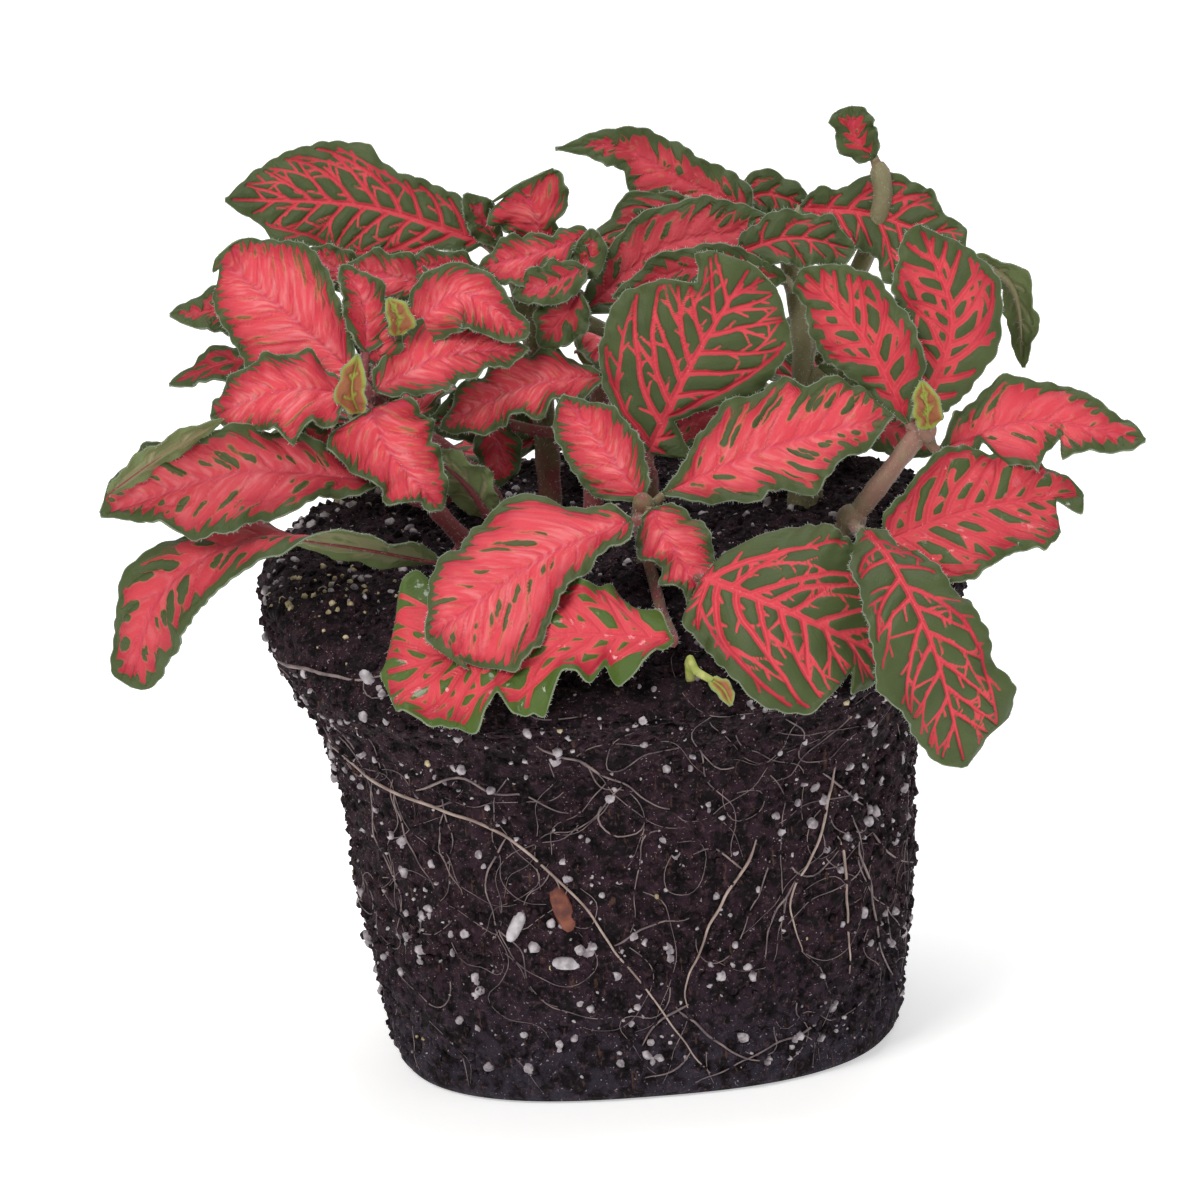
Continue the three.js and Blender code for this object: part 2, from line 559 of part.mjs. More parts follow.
// A seedling that has just come up near the front edge: its stem, and its seed leaf bent down over the rim.
const SEEDLING = {
  stem: [[9.6, 51.2, -45.4], [10.4, 49.6, -47], [12.6, 48, -48.6]],
  radius: 0.8,
  seedLeaf: [[12.2, 48.2, -48.4], [13.8, 46.8, -49.8], [14.8, 44.4, -50.6]],
  leafWidth: 2.6,
  depth: 5,
};

// ---------------------------------------------------------------- assembly

const plant = new THREE.Group();
const STEM_DEPTH = 7;

/** A stem's points in space, with its foot straight down in the peat. */
function stemPoints(path, deeper = 0) {
  const points = path.map(seenAt);
  const end = points[points.length - 1];
  points.push(new THREE.Vector3(end.x, end.y, BALL.height - STEM_DEPTH - deeper));
  return points;
}

/** A path with both ends moved out by twice the clearance, for the groove that a root lies in. */
function lengthened(points) {
  const longer = points.map((point) => point.clone());
  const grow = (end, next) => end.addScaledVector(end.clone().sub(next).normalize(), 2 * CLEARANCE);
  grow(longer[0], points[1]);
  grow(longer[longer.length - 1], points[points.length - 2]);
  return longer;
}

let ball = rawBall();
for (const shoot of SHOOTS) {
  const solids = [];
  for (const { radius, path } of shoot.stems) {
    const steps = path.length + 3;
    solids.push(rod(stemPoints(path), radius, steps));
    ball = ball.subtract(rod(stemPoints(path, CLEARANCE), radius + CLEARANCE, steps));
  }
  for (const { at, radius, stretch } of shoot.knobs) solids.push(knob(seenAt(at), radius, stretch));
  for (const { from, path, width, faces, look } of shoot.leaves) {
    solids.push(stalk(from, path, faces));
    solids.push(blade(path, width, faces, look));
  }
  const whole = solids.reduce((sum, solid) => sum.add(solid));
  plant.add(toMesh(shoot.name, mainBody(whole), shoot.material));
}

SURFACE_ROOTS.forEach((path, i) => {
  const points = path.map((place) => onBallFront(place, ROOT_PROUD));
  const steps = path.length + 1;
  plant.add(toMesh(`surface_root_${i + 1}`, rod(points, ROOT_RADIUS, steps, ROOT_SIDES), ROOT));
  ball = ball.subtract(rod(lengthened(points), ROOT_RADIUS + CLEARANCE, steps, ROOT_SIDES));
});

const sproutTop = SEEDLING.stem.map(seenAt);
const sproutFoot = (depth) => sproutTop[0].clone().add(new THREE.Vector3(0, depth * 0.4, -depth));
const sproutStem = rod([sproutFoot(SEEDLING.depth), ...sproutTop], SEEDLING.radius, 5);
const holePath = [sproutFoot(SEEDLING.depth + CLEARANCE), ...sproutTop];
const sproutHole = rod(holePath, SEEDLING.radius + CLEARANCE, 5);
const seedLeaf = blade(SEEDLING.seedLeaf, SEEDLING.leafWidth, [[40, 10]]);
plant.add(toMesh("seedling", mainBody(sproutStem.add(seedLeaf)), SPROUT));
plant.add(toMesh("root_ball", mainBody(ball.subtract(sproutHole)), PEAT));

export default plant;
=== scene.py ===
"""A nerve plant and its root ball: veined leaves, hairy stems, peat, perlite and roots."""

import logging
import math
from dataclasses import dataclass, field
from enum import Enum
from typing import Any, Callable, Iterable, Optional, Sequence, Union

import bpy
import numpy as np
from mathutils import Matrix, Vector, noise
from mathutils.bvhtree import BVHTree


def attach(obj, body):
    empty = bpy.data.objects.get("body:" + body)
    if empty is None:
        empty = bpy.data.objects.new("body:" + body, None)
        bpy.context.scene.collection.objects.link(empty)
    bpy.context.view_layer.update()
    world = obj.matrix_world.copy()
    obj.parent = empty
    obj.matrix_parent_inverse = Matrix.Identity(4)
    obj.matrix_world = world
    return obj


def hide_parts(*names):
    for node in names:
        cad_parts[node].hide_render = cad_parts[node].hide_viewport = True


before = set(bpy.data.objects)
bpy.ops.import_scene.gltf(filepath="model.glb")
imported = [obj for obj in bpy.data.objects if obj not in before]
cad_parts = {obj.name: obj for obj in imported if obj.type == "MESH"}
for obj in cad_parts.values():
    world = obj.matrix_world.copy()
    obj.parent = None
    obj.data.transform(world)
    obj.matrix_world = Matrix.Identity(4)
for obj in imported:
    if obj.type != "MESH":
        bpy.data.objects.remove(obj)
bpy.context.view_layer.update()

log = logging.getLogger("nerve_plant")

MM = 0.001
HALF_TURN = 3.1
HAIR_SHARE = "hair_share"
VIEW_TILT = math.radians(16)
SIN_TILT, COS_TILT = math.sin(VIEW_TILT), math.cos(VIEW_TILT)

Point = tuple[float, ...]
Colour = tuple[float, float, float]
Array = np.ndarray
Line = tuple[Array, Array]
Material = bpy.types.Material
Mesh = bpy.types.Mesh
Object = bpy.types.Object
Socket = bpy.types.NodeSocket


# ---------------------------------------------------------------- places


def seen_at(place: Point) -> Array:
    """The point of the plant, in mm, that the front view shows.

    Args:
        place: millimetres across and up in the front view, and the depth behind the middle.

    Returns:
        The point as x, y, z in millimetres.
    """
    across, up, back = place
    return np.array([across, back, (up - back * SIN_TILT) / COS_TILT])


def in_view(point: Sequence[float]) -> Point:
    """A point x, y, z of the plant as [across, up, back] of the front view."""
    x, y, z = point
    return (x, z * COS_TILT + y * SIN_TILT, y)


def flat(points: Array) -> Array:
    """Points or directions as the front view shows them, across and up."""
    return np.stack([points[..., 0], points[..., 2] * COS_TILT + points[..., 1] * SIN_TILT], -1)


def direction(rise: float, turn: float) -> Array:
    """A unit direction from its rise above level and its turn from the front to the right, in degrees."""
    a, b = math.radians(rise), math.radians(turn)
    return np.array([math.sin(b) * math.cos(a), -math.cos(b) * math.cos(a), math.sin(a)])


def unit(vectors: Array) -> Array:
    """Vectors scaled to length one along their last axis."""
    return vectors / np.maximum(np.linalg.norm(vectors, axis=-1, keepdims=True), 1e-12)


def smoothstep(low: float, high: float, x: Array) -> Array:
    """The smooth step from 0 at low to 1 at high."""
    t = np.clip((x - low) / (high - low), 0, 1)
    return t * t * (3 - 2 * t)


class SmoothPath:
    """A smooth curve through points, measured along its length."""

    TANGENT_STEP = 0.012

    def __init__(self, points: Sequence[Array], samples: int = 64) -> None:
        """Lays the curve.

        Args:
            points: the points that it passes through.
            samples: points kept between each two of them.
        """
        p = [np.asarray(q, float) for q in points]
        p = [2 * p[0] - p[1], *p, 2 * p[-1] - p[-2]]
        t = np.linspace(0, 1, samples, endpoint=False)[:, None]
        runs = []
        for a, b, c, d in zip(p, p[1:], p[2:], p[3:]):
            m0, m1 = (c - a) / 2, (d - b) / 2
            runs.append(b + m0 * t + (3 * (c - b) - 2 * m0 - m1) * t**2 + (2 * (b - c) + m0 + m1) * t**3)
        self.points = np.vstack([*runs, p[-2][None]])
        steps = np.linalg.norm(np.diff(self.points, axis=0), axis=1)
        self.lengths = np.concatenate([[0], np.cumsum(steps)])
        self.length = float(self.lengths[-1])

    def at(self, share: Array) -> Array:
        """Points at shares of the length, from 0 to 1."""
        where = np.clip(share, 0, 1) * self.length
        return np.stack([np.interp(where, self.lengths, axis) for axis in self.points.T], -1)

    def tangent(self, share: Array) -> Array:
        """Unit tangents at shares of the length."""
        return unit(self.at(share + self.TANGENT_STEP) - self.at(share - self.TANGENT_STEP))


# ---------------------------------------------------------------- node trees

Input = Union["Value", Socket, float, tuple, None]
Inputs = dict[Union[str, int], Any]


class Graph:
    """A node tree being built; every node comes from its one method."""

    def __init__(self, tree: bpy.types.NodeTree) -> None:
        """Starts with an empty tree."""
        self.tree = tree
        tree.nodes.clear()

    def node(self, kind: str, inputs: Optional[Inputs] = None, **settings: Any) -> bpy.types.Node:
        """Adds a node.

        Args:
            kind: the node's type.
            inputs: values or links by socket name or number.
            settings: its properties.

        Returns:
            The node.
        """
        made = self.tree.nodes.new(kind)
        for key, value in settings.items():
            setattr(made, key, value)
        for key, value in (inputs or {}).items():
            self.feed(made.inputs[key], value)
        return made

    def value(self, kind: str, inputs: Optional[Inputs] = None, **settings: Any) -> "Value":
        """Adds a node and gives its first output as a number."""
        return Value(self, self.node(kind, inputs, **settings).outputs[0])

    def feed(self, socket: Socket, value: Input) -> None:
        """Gives a socket its value or its link.

        Args:
            socket: the input socket.
            value: a number, colour, text or socket.
        """
        if isinstance(value, Value):
            value = value.socket
        if isinstance(value, Socket):
            self.tree.links.new(value, socket)
        elif isinstance(value, tuple) and len(value) == 3 and socket.type == "RGBA":
            socket.default_value = (*value, 1.0)
        else:
            socket.default_value = value

    def math(self, kind: str, *values: Input) -> "Value":
        """A Math node on numbers."""
        return self.value("ShaderNodeMath", dict(enumerate(values)), operation=kind)

    def step(self, low: Input, high: Input, value: Input) -> "Value":
        """The smooth step from 0 at low to 1 at high."""
        inputs = {"Value": value, "From Min": low, "From Max": high}
        return self.value("ShaderNodeMapRange", inputs, interpolation_type="SMOOTHSTEP")

    def mix(self, factor: Input, a: Input, b: Input) -> Socket:
        """A colour from a to b."""
        return self.node("ShaderNodeMix", {0: factor, 6: a, 7: b}, data_type="RGBA").outputs[2]

    def blend(self, factor: Input, a: Input, b: Input) -> "Value":
        """A number from a to b."""
        return self.value("ShaderNodeMix", {0: factor, 2: a, 3: b}, data_type="FLOAT")

    def attribute(self, name: str) -> list["Value"]:
        """The three numbers of a point attribute.

        Args:
            name: the attribute's name.

        Returns:
            The numbers.
        """
        vector = self.node("ShaderNodeAttribute", attribute_name=name).outputs["Vector"]
        parts = self.node("ShaderNodeSeparateXYZ", {0: vector})
        return [Value(self, out) for out in parts.outputs]

    def vector(self, x: Input, y: Input, z: Input = 0.0) -> Socket:
        """A vector from three numbers."""
        return self.node("ShaderNodeCombineXYZ", {0: x, 1: y, 2: z}).outputs[0]

    def place(self) -> Socket:
        """The point in object coordinates, in metres."""
        return self.node("ShaderNodeTexCoord").outputs["Object"]

    def noise(self, where: Input, scale: float, detail: float = 2.0) -> "Value":
        """Smooth noise from 0 to 1."""
        return self.value("ShaderNodeTexNoise", {"Vector": where, "Scale": scale, "Detail": detail})


def operation(kind: str) -> Callable[..., "Value"]:
    """A method that puts a Math node of one kind on its number and on what it is given.

    Args:
        kind: the node's operation.

    Returns:
        The method.
    """

    def run(number: "Value", *others: Input) -> "Value":
        """Adds the node."""
        return number.graph.math(kind, number, *others)

    return run


class Value:
    """A number in a shader tree; arithmetic on it adds Math nodes."""

    def __init__(self, graph: Graph, socket: Socket) -> None:
        """Wraps a socket of the graph."""
        self.graph, self.socket = graph, socket

    __add__ = __radd__ = operation("ADD")
    __mul__ = __rmul__ = operation("MULTIPLY")
    __sub__ = operation("SUBTRACT")
    __truediv__ = operation("DIVIDE")
    __pow__ = operation("POWER")
    __abs__ = operation("ABSOLUTE")
    fraction = operation("FRACT")

    def __rsub__(self, other: Input) -> "Value":
        """The difference from another number."""
        return self.graph.math("SUBTRACT", other, self)


# ---------------------------------------------------------------- finishes


class Slot(Enum):
    """The record's material slots."""

    PEAT = "peat"
    ROOT = "root"
    PINK_LEAF = "pink_leaf"
    GREEN_LEAF = "green_leaf"
    SPROUT = "sprout"


@dataclass(frozen=True)
class Finish:
    """What every finish shares: a name and a principled shader whose base takes colour and relief."""

    name: str
    roughness: float = 0.6
    specular: float = 0.4

    def start(self) -> tuple[Material, Graph]:
        """A new material and its empty graph.

        Returns:
            The material and its graph.
        """
        material = bpy.data.materials.new(self.name)
        material.use_nodes = True
        return material, Graph(material.node_tree)

    def close(self, graph: Graph, colour: Input, height: Optional[Value] = None, depth: float = 0.0002,
              **sockets: Input) -> None:
        """Ends the tree in a principled shader.

        Args:
            graph: the finish's graph.
            colour: the base colour.
            height: relief from 0 to 1, or none.
            depth: what a height of one stands for, in metres.
            sockets: more of the shader's sockets, with _ for a space.
        """
        inputs = {"Base Color": colour, "Roughness": self.roughness, "Specular IOR Level": self.specular}
        inputs.update({key.replace("_", " "): value for key, value in sockets.items()})
        if height is not None:
            bump = graph.node("ShaderNodeBump", {"Height": height, "Distance": depth, "Strength": 1.0})
            inputs["Normal"] = bump.outputs[0]
        shader = graph.node("ShaderNodeBsdfPrincipled", inputs)
        graph.node("ShaderNodeOutputMaterial", {"Surface": shader.outputs[0]})


@dataclass(frozen=True)
class PlainFinish(Finish):
    """One finish with two colours that noise mixes."""

    low: Colour = (0.1, 0.1, 0.1)
    high: Colour = (0.2, 0.2, 0.2)
    grain: float = 600.0
    relief: float = 0.0
    glow: float = 0.0

    def build(self) -> Material:
        """The finish as a material.

        Returns:
            The material.
        """
        material, graph = self.start()
        spread = graph.noise(graph.place(), self.grain, 3.0)
        colour = graph.mix(graph.step(0.3, 0.7, spread), self.low, self.high)
        light = {"Emission_Color": (1.0,) * 3, "Emission_Strength": self.glow} if self.glow else {}
        self.close(graph, colour, spread if self.relief else None, self.relief, **light)
        return material


@dataclass(frozen=True)
class PeatFinish(Finish):
    """Dark peat with brown fibres, blackish pits that are partly painted shade where the relief is low, and
    a violet cast.
    """

    pit: Colour = (0.0042, 0.0016, 0.0034)
    body: Colour = (0.0270, 0.0112, 0.0180)
    dust: Colour = (0.110, 0.062, 0.075)
    fibre: Colour = (0.12, 0.060, 0.040)
    low_tint: Colour = (0.030, 0.029, 0.045)
    mote: Colour = (0.42, 0.36, 0.38)
    clod_grain: float = 430.0
    fine_grain: float = 1500.0
    mote_grain: float = 2900.0
    fibre_grain: Point = (1500.0, 1500.0, 300.0)
    fibre_turn: Point = (0.5, 0.4, 0.0)
    low_tint_height: tuple[float, float] = (0.002, 0.024)
    relief: float = 0.0014

    def build(self) -> Material:
        """The finish as a material.

        Returns:
            The material.
        """
        material, graph = self.start()
        place = graph.place()
        clods = graph.noise(place, self.clod_grain, 6.0)
        fine = graph.noise(place, self.fine_grain, 4.0)
        # Blackish where the clods' relief is low: partly the peat's own dark, partly painted shade in its
        # hollows.
        colour = graph.mix(graph.step(0.42, 0.58, clods), self.pit, self.body)
        height = Value(graph, graph.node("ShaderNodeSeparateXYZ", {0: place}).outputs[2])
        # A bluish grey tint on the raised clods near the bottom.
        low = 1.0 - graph.step(*self.low_tint_height, height + (clods - 0.5) * 0.02)
        colour = graph.mix(low * graph.step(0.40, 0.60, clods) * 0.75, colour, self.low_tint)
        colour = graph.mix(graph.step(0.50, 0.80, fine) * 0.65, colour, self.dust)
        inputs = {"Vector": place, "Scale": self.fibre_grain, "Rotation": self.fibre_turn}
        stretched = graph.node("ShaderNodeMapping", inputs)
        fibres = graph.noise(stretched.outputs[0], 1.0)
        colour = graph.mix(graph.step(0.64, 0.72, fibres) * 0.55, colour, self.fibre)
        motes = graph.noise(place, self.mote_grain, 1.0)
        motes = graph.step(0.700, 0.745, motes) * graph.step(0.40, 0.55, clods)
        colour = graph.mix(motes * 0.8, colour, self.mote)
        self.close(graph, colour, clods + fine * 0.6, self.relief)
        return material


@dataclass(frozen=True)
class LeafFinish(Finish):
    """A nerve plant's blade: green fields in a net of pink veins, a green margin and a pale hairy rim.

    The blade's mesh tells where its veins run, in millimetres, how pink, lime or wet it is, and how much
    painted shade darkens it.
    Each pair says where a look sets in and where it is full: in mm from the margin, a vein or a field's
    edge, by how pink the leaf is, or by a noise.
    """

    rose: Colour = (0.46, 0.020, 0.040)
    coral: Colour = (0.74, 0.062, 0.084)
    # Paler pink of the strokes: partly the leaf's own paler pink, partly a painted highlight.
    pale: Colour = (0.88, 0.26, 0.27)
    # The painted shade's dark red, for leaves deep in the plant.
    shade_wine: Colour = (0.17, 0.020, 0.026)
    green: Colour = (0.094, 0.126, 0.042)
    deep_green: Colour = (0.042, 0.062, 0.016)
    bright_green: Colour = (0.080, 0.155, 0.012)
    olive: Colour = (0.20, 0.17, 0.05)
    lime_green: Colour = (0.31, 0.36, 0.060)
    bud_brown: Colour = (0.36, 0.085, 0.055)
    rim: Colour = (0.26, 0.31, 0.23)
    thread: Colour = (0.50, 0.03, 0.14)
    halo: Colour = (0.60, 0.36, 0.10)
    back: Colour = (0.20, 0.25, 0.10)
    back_vein: Colour = (0.34, 0.33, 0.17)
    back_speck: Colour = (0.05, 0.06, 0.03)
    roughness: float = 0.5
    specular: float = 0.28
    wet_roughness: float = 0.16
    relief: float = 0.00025

    PATCHES, STRAY, SPECKS, VELVET, DROPLETS = 190.0, 260.0, 1300.0, 3400.0, 520.0
    WANDER, ASIDE, RAGGED = 420.0, 330.0, 2200.0
    GREEN_FIELD, CORAL_INSIDE = (-0.07, 0.09), (0.5, 4.8)
    STROKE_NOISE, STROKE_MIDDLE, STROKE_PINK = (0.42, 0.72), (0.15, 0.75), (0.55, 0.9)
    THREAD_LINE, THREAD_PINK = (0.03, 0.20), (0.45, 0.8)
    OLIVE_INSIDE, OLIVE_PINK = (0.8, 3.2), (0.80, 0.98)
    HALO_FIELD, HALO_INSIDE, HALO_PINK = (-0.24, -0.02), (0.9, 2.6), (0.4, 0.6)
    HEART_INSIDE, HEART_ASIDE, BUD_LIME = (0.25, 0.85), (0.06, 0.30), (0.9, 1.1)
    RIM_LINE, BACK_FIELD, RAISED_FIELD = (0.06, 0.20), (-0.15, 0.2), (-0.4, 0.4)
    SPECK_NOISE, DROPLET_NOISE = (0.70, 0.76), (0.60, 0.66)
    YOUNG_PINK, FLECKED_PINK, SPREAD_PINK = (0.74, 0.96), (0.52, 0.60), (0.36, 0.60)

    def build(self) -> Material:
        """The finish as a material.

        Returns:
            The material.
        """
        material, graph = self.start()
        pink, painted_shade, seed = graph.attribute("nature")
        lime, wet, upper = graph.attribute("finish")
        phase, share, _ = graph.attribute("veins")
        main, edge, _ = graph.attribute("reach")
        place = graph.place()
        depth = self.field_depth(graph, place, pink, seed)
        green_share = graph.step(*self.GREEN_FIELD, depth)

        patches = graph.noise(place, self.PATCHES)
        inner = graph.step(*self.CORAL_INSIDE, edge + (patches - 0.5) * 3.6)
        vein = graph.mix(inner, self.rose, self.coral)
        stray = graph.noise(place, self.STRAY) * 1.4
        strokes = graph.noise(graph.vector(phase * 4.5 + stray, share * 2.6, seed * 50.0), 1.0, 4.0)
        middle = 1.0 - graph.step(*self.STROKE_MIDDLE, abs(share))
        # Pale strokes, strongest mid-leaf: partly the young leaf's own paler pink, partly a painted
        # highlight.
        light = graph.step(*self.STROKE_NOISE, strokes) * (middle * 0.7 + 0.3) * inner
        vein = graph.mix(light * graph.step(*self.STROKE_PINK, pink) * 0.70, vein, self.pale)
        line = (1.0 - graph.step(*self.THREAD_LINE, main)) * graph.step(*self.THREAD_PINK, pink)
        vein = graph.mix(line * 0.28, vein, self.thread)
        green = graph.mix(patches, self.deep_green, self.green)
        inside = graph.step(*self.OLIVE_INSIDE, edge) * graph.step(*self.OLIVE_PINK, pink)
        green = graph.mix(inside * 0.55, green, self.olive)
        green = graph.mix(lime, green, self.bright_green)
        halo = graph.step(*self.HALO_FIELD, depth) * graph.step(*self.HALO_INSIDE, edge)
        vein = graph.mix(halo * graph.step(*self.HALO_PINK, pink) * 0.20, vein, self.halo)
        colour = graph.mix(green_share * (1.0 - 0.30 * inside), vein, green)
        heart = graph.step(*self.HEART_INSIDE, edge + (patches - 0.5) * 1.4)
        heart = heart * graph.step(*self.HEART_ASIDE, main)
        bud = graph.mix(heart * 0.85, self.lime_green, self.bud_brown)
        colour = graph.mix(graph.step(*self.BUD_LIME, lime), colour, bud)
        # Painted shade: a leaf deep in the plant is darkened towards dark red and deep green.
        colour = graph.mix(painted_shade * 0.7, colour, graph.mix(green_share, self.shade_wine, self.deep_green))
        colour = graph.mix((1.0 - graph.step(*self.RIM_LINE, edge)) * 0.7, colour, self.rim)

        specks = graph.step(*self.SPECK_NOISE, graph.noise(place, self.SPECKS))
        under = graph.mix(graph.step(*self.BACK_FIELD, depth), self.back_vein, self.back)
        under = graph.mix(specks * 0.5, under, self.back_speck)
        # Painted shade on the underside too, towards deep green.
        under = graph.mix(painted_shade * 0.8, under, self.deep_green)
        colour = graph.mix(upper, under, colour)

        height = graph.step(*self.RAISED_FIELD, depth) * 0.8 + graph.noise(place, self.VELVET) * 0.3
        height = height + strokes * 0.5 + graph.step(0.0, 0.5, main) * 0.6
        droplets = graph.step(*self.DROPLET_NOISE, graph.noise(place, self.DROPLETS)) * wet
        roughness = graph.blend(droplets, self.roughness, self.wet_roughness)
        self.close(graph, colour, height, self.relief, Roughness=roughness, Coat_Weight=droplets,
                   Coat_Roughness=0.08, Sheen_Weight=0.05, Sheen_Roughness=0.4)
        return material

    def field_depth(self, graph: Graph, place: Input, pink: Value, seed: Value) -> Value:
        """How far, in mm, a point lies inside a green field; less than nothing in the pink.

        Args:
            graph: the finish's graph.
            place: the point.
            pink: how far the veins spread.
            seed: the leaf's own number.

        Returns:
            The distance.
        """
        phase, share, net = graph.attribute("veins")
        main, edge, gap = graph.attribute("reach")
        wander = graph.noise(place, self.WANDER) - 0.5
        aside = graph.noise(place, self.ASIDE, 1.0) - 0.5
        ragged = graph.noise(place, self.RAGGED) - 0.5
        course = phase + wander * 0.30
        young = graph.step(*self.YOUNG_PINK, pink)

        finer = 1.9 + 0.9 * young
        cells = graph.vector(course * finer + seed * 37.0, share * 1.45 + aside * 0.8 + seed * 11.0)
        spot = graph.node("ShaderNodeTexVoronoi", {"Vector": cells, "Scale": 1.0, "Randomness": 0.9},
                          voronoi_dimensions="2D", feature="F1")
        own = graph.node("ShaderNodeSeparateColor", {0: spot.outputs["Color"]})
        large, kept = Value(graph, own.outputs[0]), Value(graph, own.outputs[1])
        size = (0.17 + 0.24 * large) * (1.0 - 0.36 * young)
        size = size * graph.step(0.18 + 0.22 * young, 0.38 + 0.24 * young, kept)
        size = size * graph.step(0.05 + 0.20 * young, 0.25 + 0.27 * young, abs(share) + aside * 0.3)
        fleck = (size - Value(graph, spot.outputs["Distance"])) * gap / finer
        fleck = graph.math("MINIMUM", fleck, net + 0.30)

        tooth = course * (finer * 0.95)
        wedge = 1.0 - abs(tooth.fraction() * 2.0 - 1.0)
        own = graph.vector(graph.math("FLOOR", tooth), seed * 91.0 + graph.step(-0.01, 0.01, share))
        own = graph.node("ShaderNodeTexWhiteNoise", {"Vector": own}, noise_dimensions="2D")
        depth = (2.7 - 0.6 * young) * (0.12 + 0.88 * Value(graph, own.outputs["Value"]) ** 1.7)
        band = (1.15 - 0.38 * young) + wedge ** 1.3 * depth
        flecked = graph.math("MAXIMUM", fleck, (band - edge) * 0.6)

        netted = graph.math("MAXIMUM", net - 0.32 * graph.step(*self.SPREAD_PINK, pink), 1.0 - edge)
        return graph.blend(graph.step(*self.FLECKED_PINK, pink), netted, flecked) + ragged * 0.16


@dataclass(frozen=True)
class StemFinish(Finish):
    """A stem's skin, from red to green along streaks."""

    red: Colour = (0.24, 0.045, 0.050)
    green: Colour = (0.16, 0.15, 0.06)
    down: Colour = (0.55, 0.46, 0.30)
    fleck: Colour = (0.45, 0.42, 0.28)
    redness: float = 0.5
    paleness: float = 0.0
    patch_grain: float = 160.0
    fine_grain: float = 1800.0
    softness: float = 0.16

    def build(self) -> Material:
        """The finish as a material.

        Returns:
            The material.
        """
        material, graph = self.start()
        place = graph.place()
        patches = graph.noise(place, self.patch_grain, 3.0)
        turn = graph.step(self.redness - self.softness, self.redness + self.softness, patches)
        colour = graph.mix(self.paleness, graph.mix(turn, self.red, self.green), self.down)
        fine = graph.noise(place, self.fine_grain, 3.0)
        colour = graph.mix(graph.step(0.55, 0.8, fine) * 0.35, colour, self.fleck)
        self.close(graph, colour, fine, 0.00015, Sheen_Weight=0.15)
        return material


# ---------------------------------------------------------------- meshes


def linked(name: str, data: bpy.types.ID) -> Object:
    """A new object with its data, linked to the scene.

    Args:
        name: its name.
        data: its mesh, curves, light or camera.

    Returns:
        The object.
    """
    obj = bpy.data.objects.new(name, data)
    bpy.context.scene.collection.objects.link(obj)
    return obj


def new_object(name: str, vertices: Array, faces: Sequence[Sequence[int]],
               materials: Iterable[Material] = ()) -> Object:
    """A smooth mesh object at the origin.

    Args:
        name: the piece's name.
        vertices: its points in millimetres.
        faces: vertex numbers of each face, seen from outside anticlockwise.
        materials: its materials.

    Returns:
        The object, linked to the scene.
    """
    mesh = bpy.data.meshes.new(name)
    mesh.from_pydata((np.asarray(vertices) * MM).tolist(), [], [list(f) for f in faces])
    mesh.shade_smooth()
    for material in materials:
        mesh.materials.append(material)
    return linked(name, mesh)


def grid_faces(grid: Array) -> list[list[int]]:
    """Four-cornered faces over a grid of vertex numbers, row by row."""
    corners = [grid[:-1, :-1], grid[:-1, 1:], grid[1:, 1:], grid[1:, :-1]]
    return np.stack(corners, -1).reshape(-1, 4).tolist()


def globe_faces(rows: int, turns: int) -> list[list[int]]:
    """Faces of a closed skin: rows of points once round, from below, then the lowest and the highest.

    Args:
        rows: how many rows there are.
        turns: points in a row.

    Returns:
        The faces.
    """
    grid = np.arange(rows * turns).reshape(rows, turns)
    faces = grid_faces(np.hstack([grid, grid[:, :1]]))
    for j in range(turns):
        k = (j + 1) % turns
        faces += [[rows * turns, k, j], [rows * turns + 1, int(grid[-1, j]), int(grid[-1, k])]]
    return faces


def store(mesh: Mesh, name: str, values: Array, domain: str = "POINT") -> None:
    """Stores a number, or a row of three, for each vertex or, where the domain is FACE, each face.

    Args:
        mesh: the mesh.
        name: the attribute's name.
        values: the numbers or rows.
        domain: POINT or FACE.
    """
    kind, key = ("FLOAT_VECTOR", "vector") if values.ndim == 2 else ("FLOAT", "value")
    layer = mesh.attributes.new(name, kind, domain)
    layer.data.foreach_set(key, np.ascontiguousarray(values, np.float32).ravel())


def settle(obj: Object, slot: Slot, nodes: Iterable[str] = ()) -> Object:
    """Lets a piece ride on the plant's one body and stand for CAD nodes, whose imported parts it hides.

    Args:
        obj: the piece.
        slot: its material slot; not used.
        nodes: the nodes that it stands for.

    Returns:
        The piece.
    """
    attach(obj, "root")
    for node in nodes:
        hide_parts(node)
    log.info("%s: %d faces", obj.name, len(obj.data.polygons))
    return obj


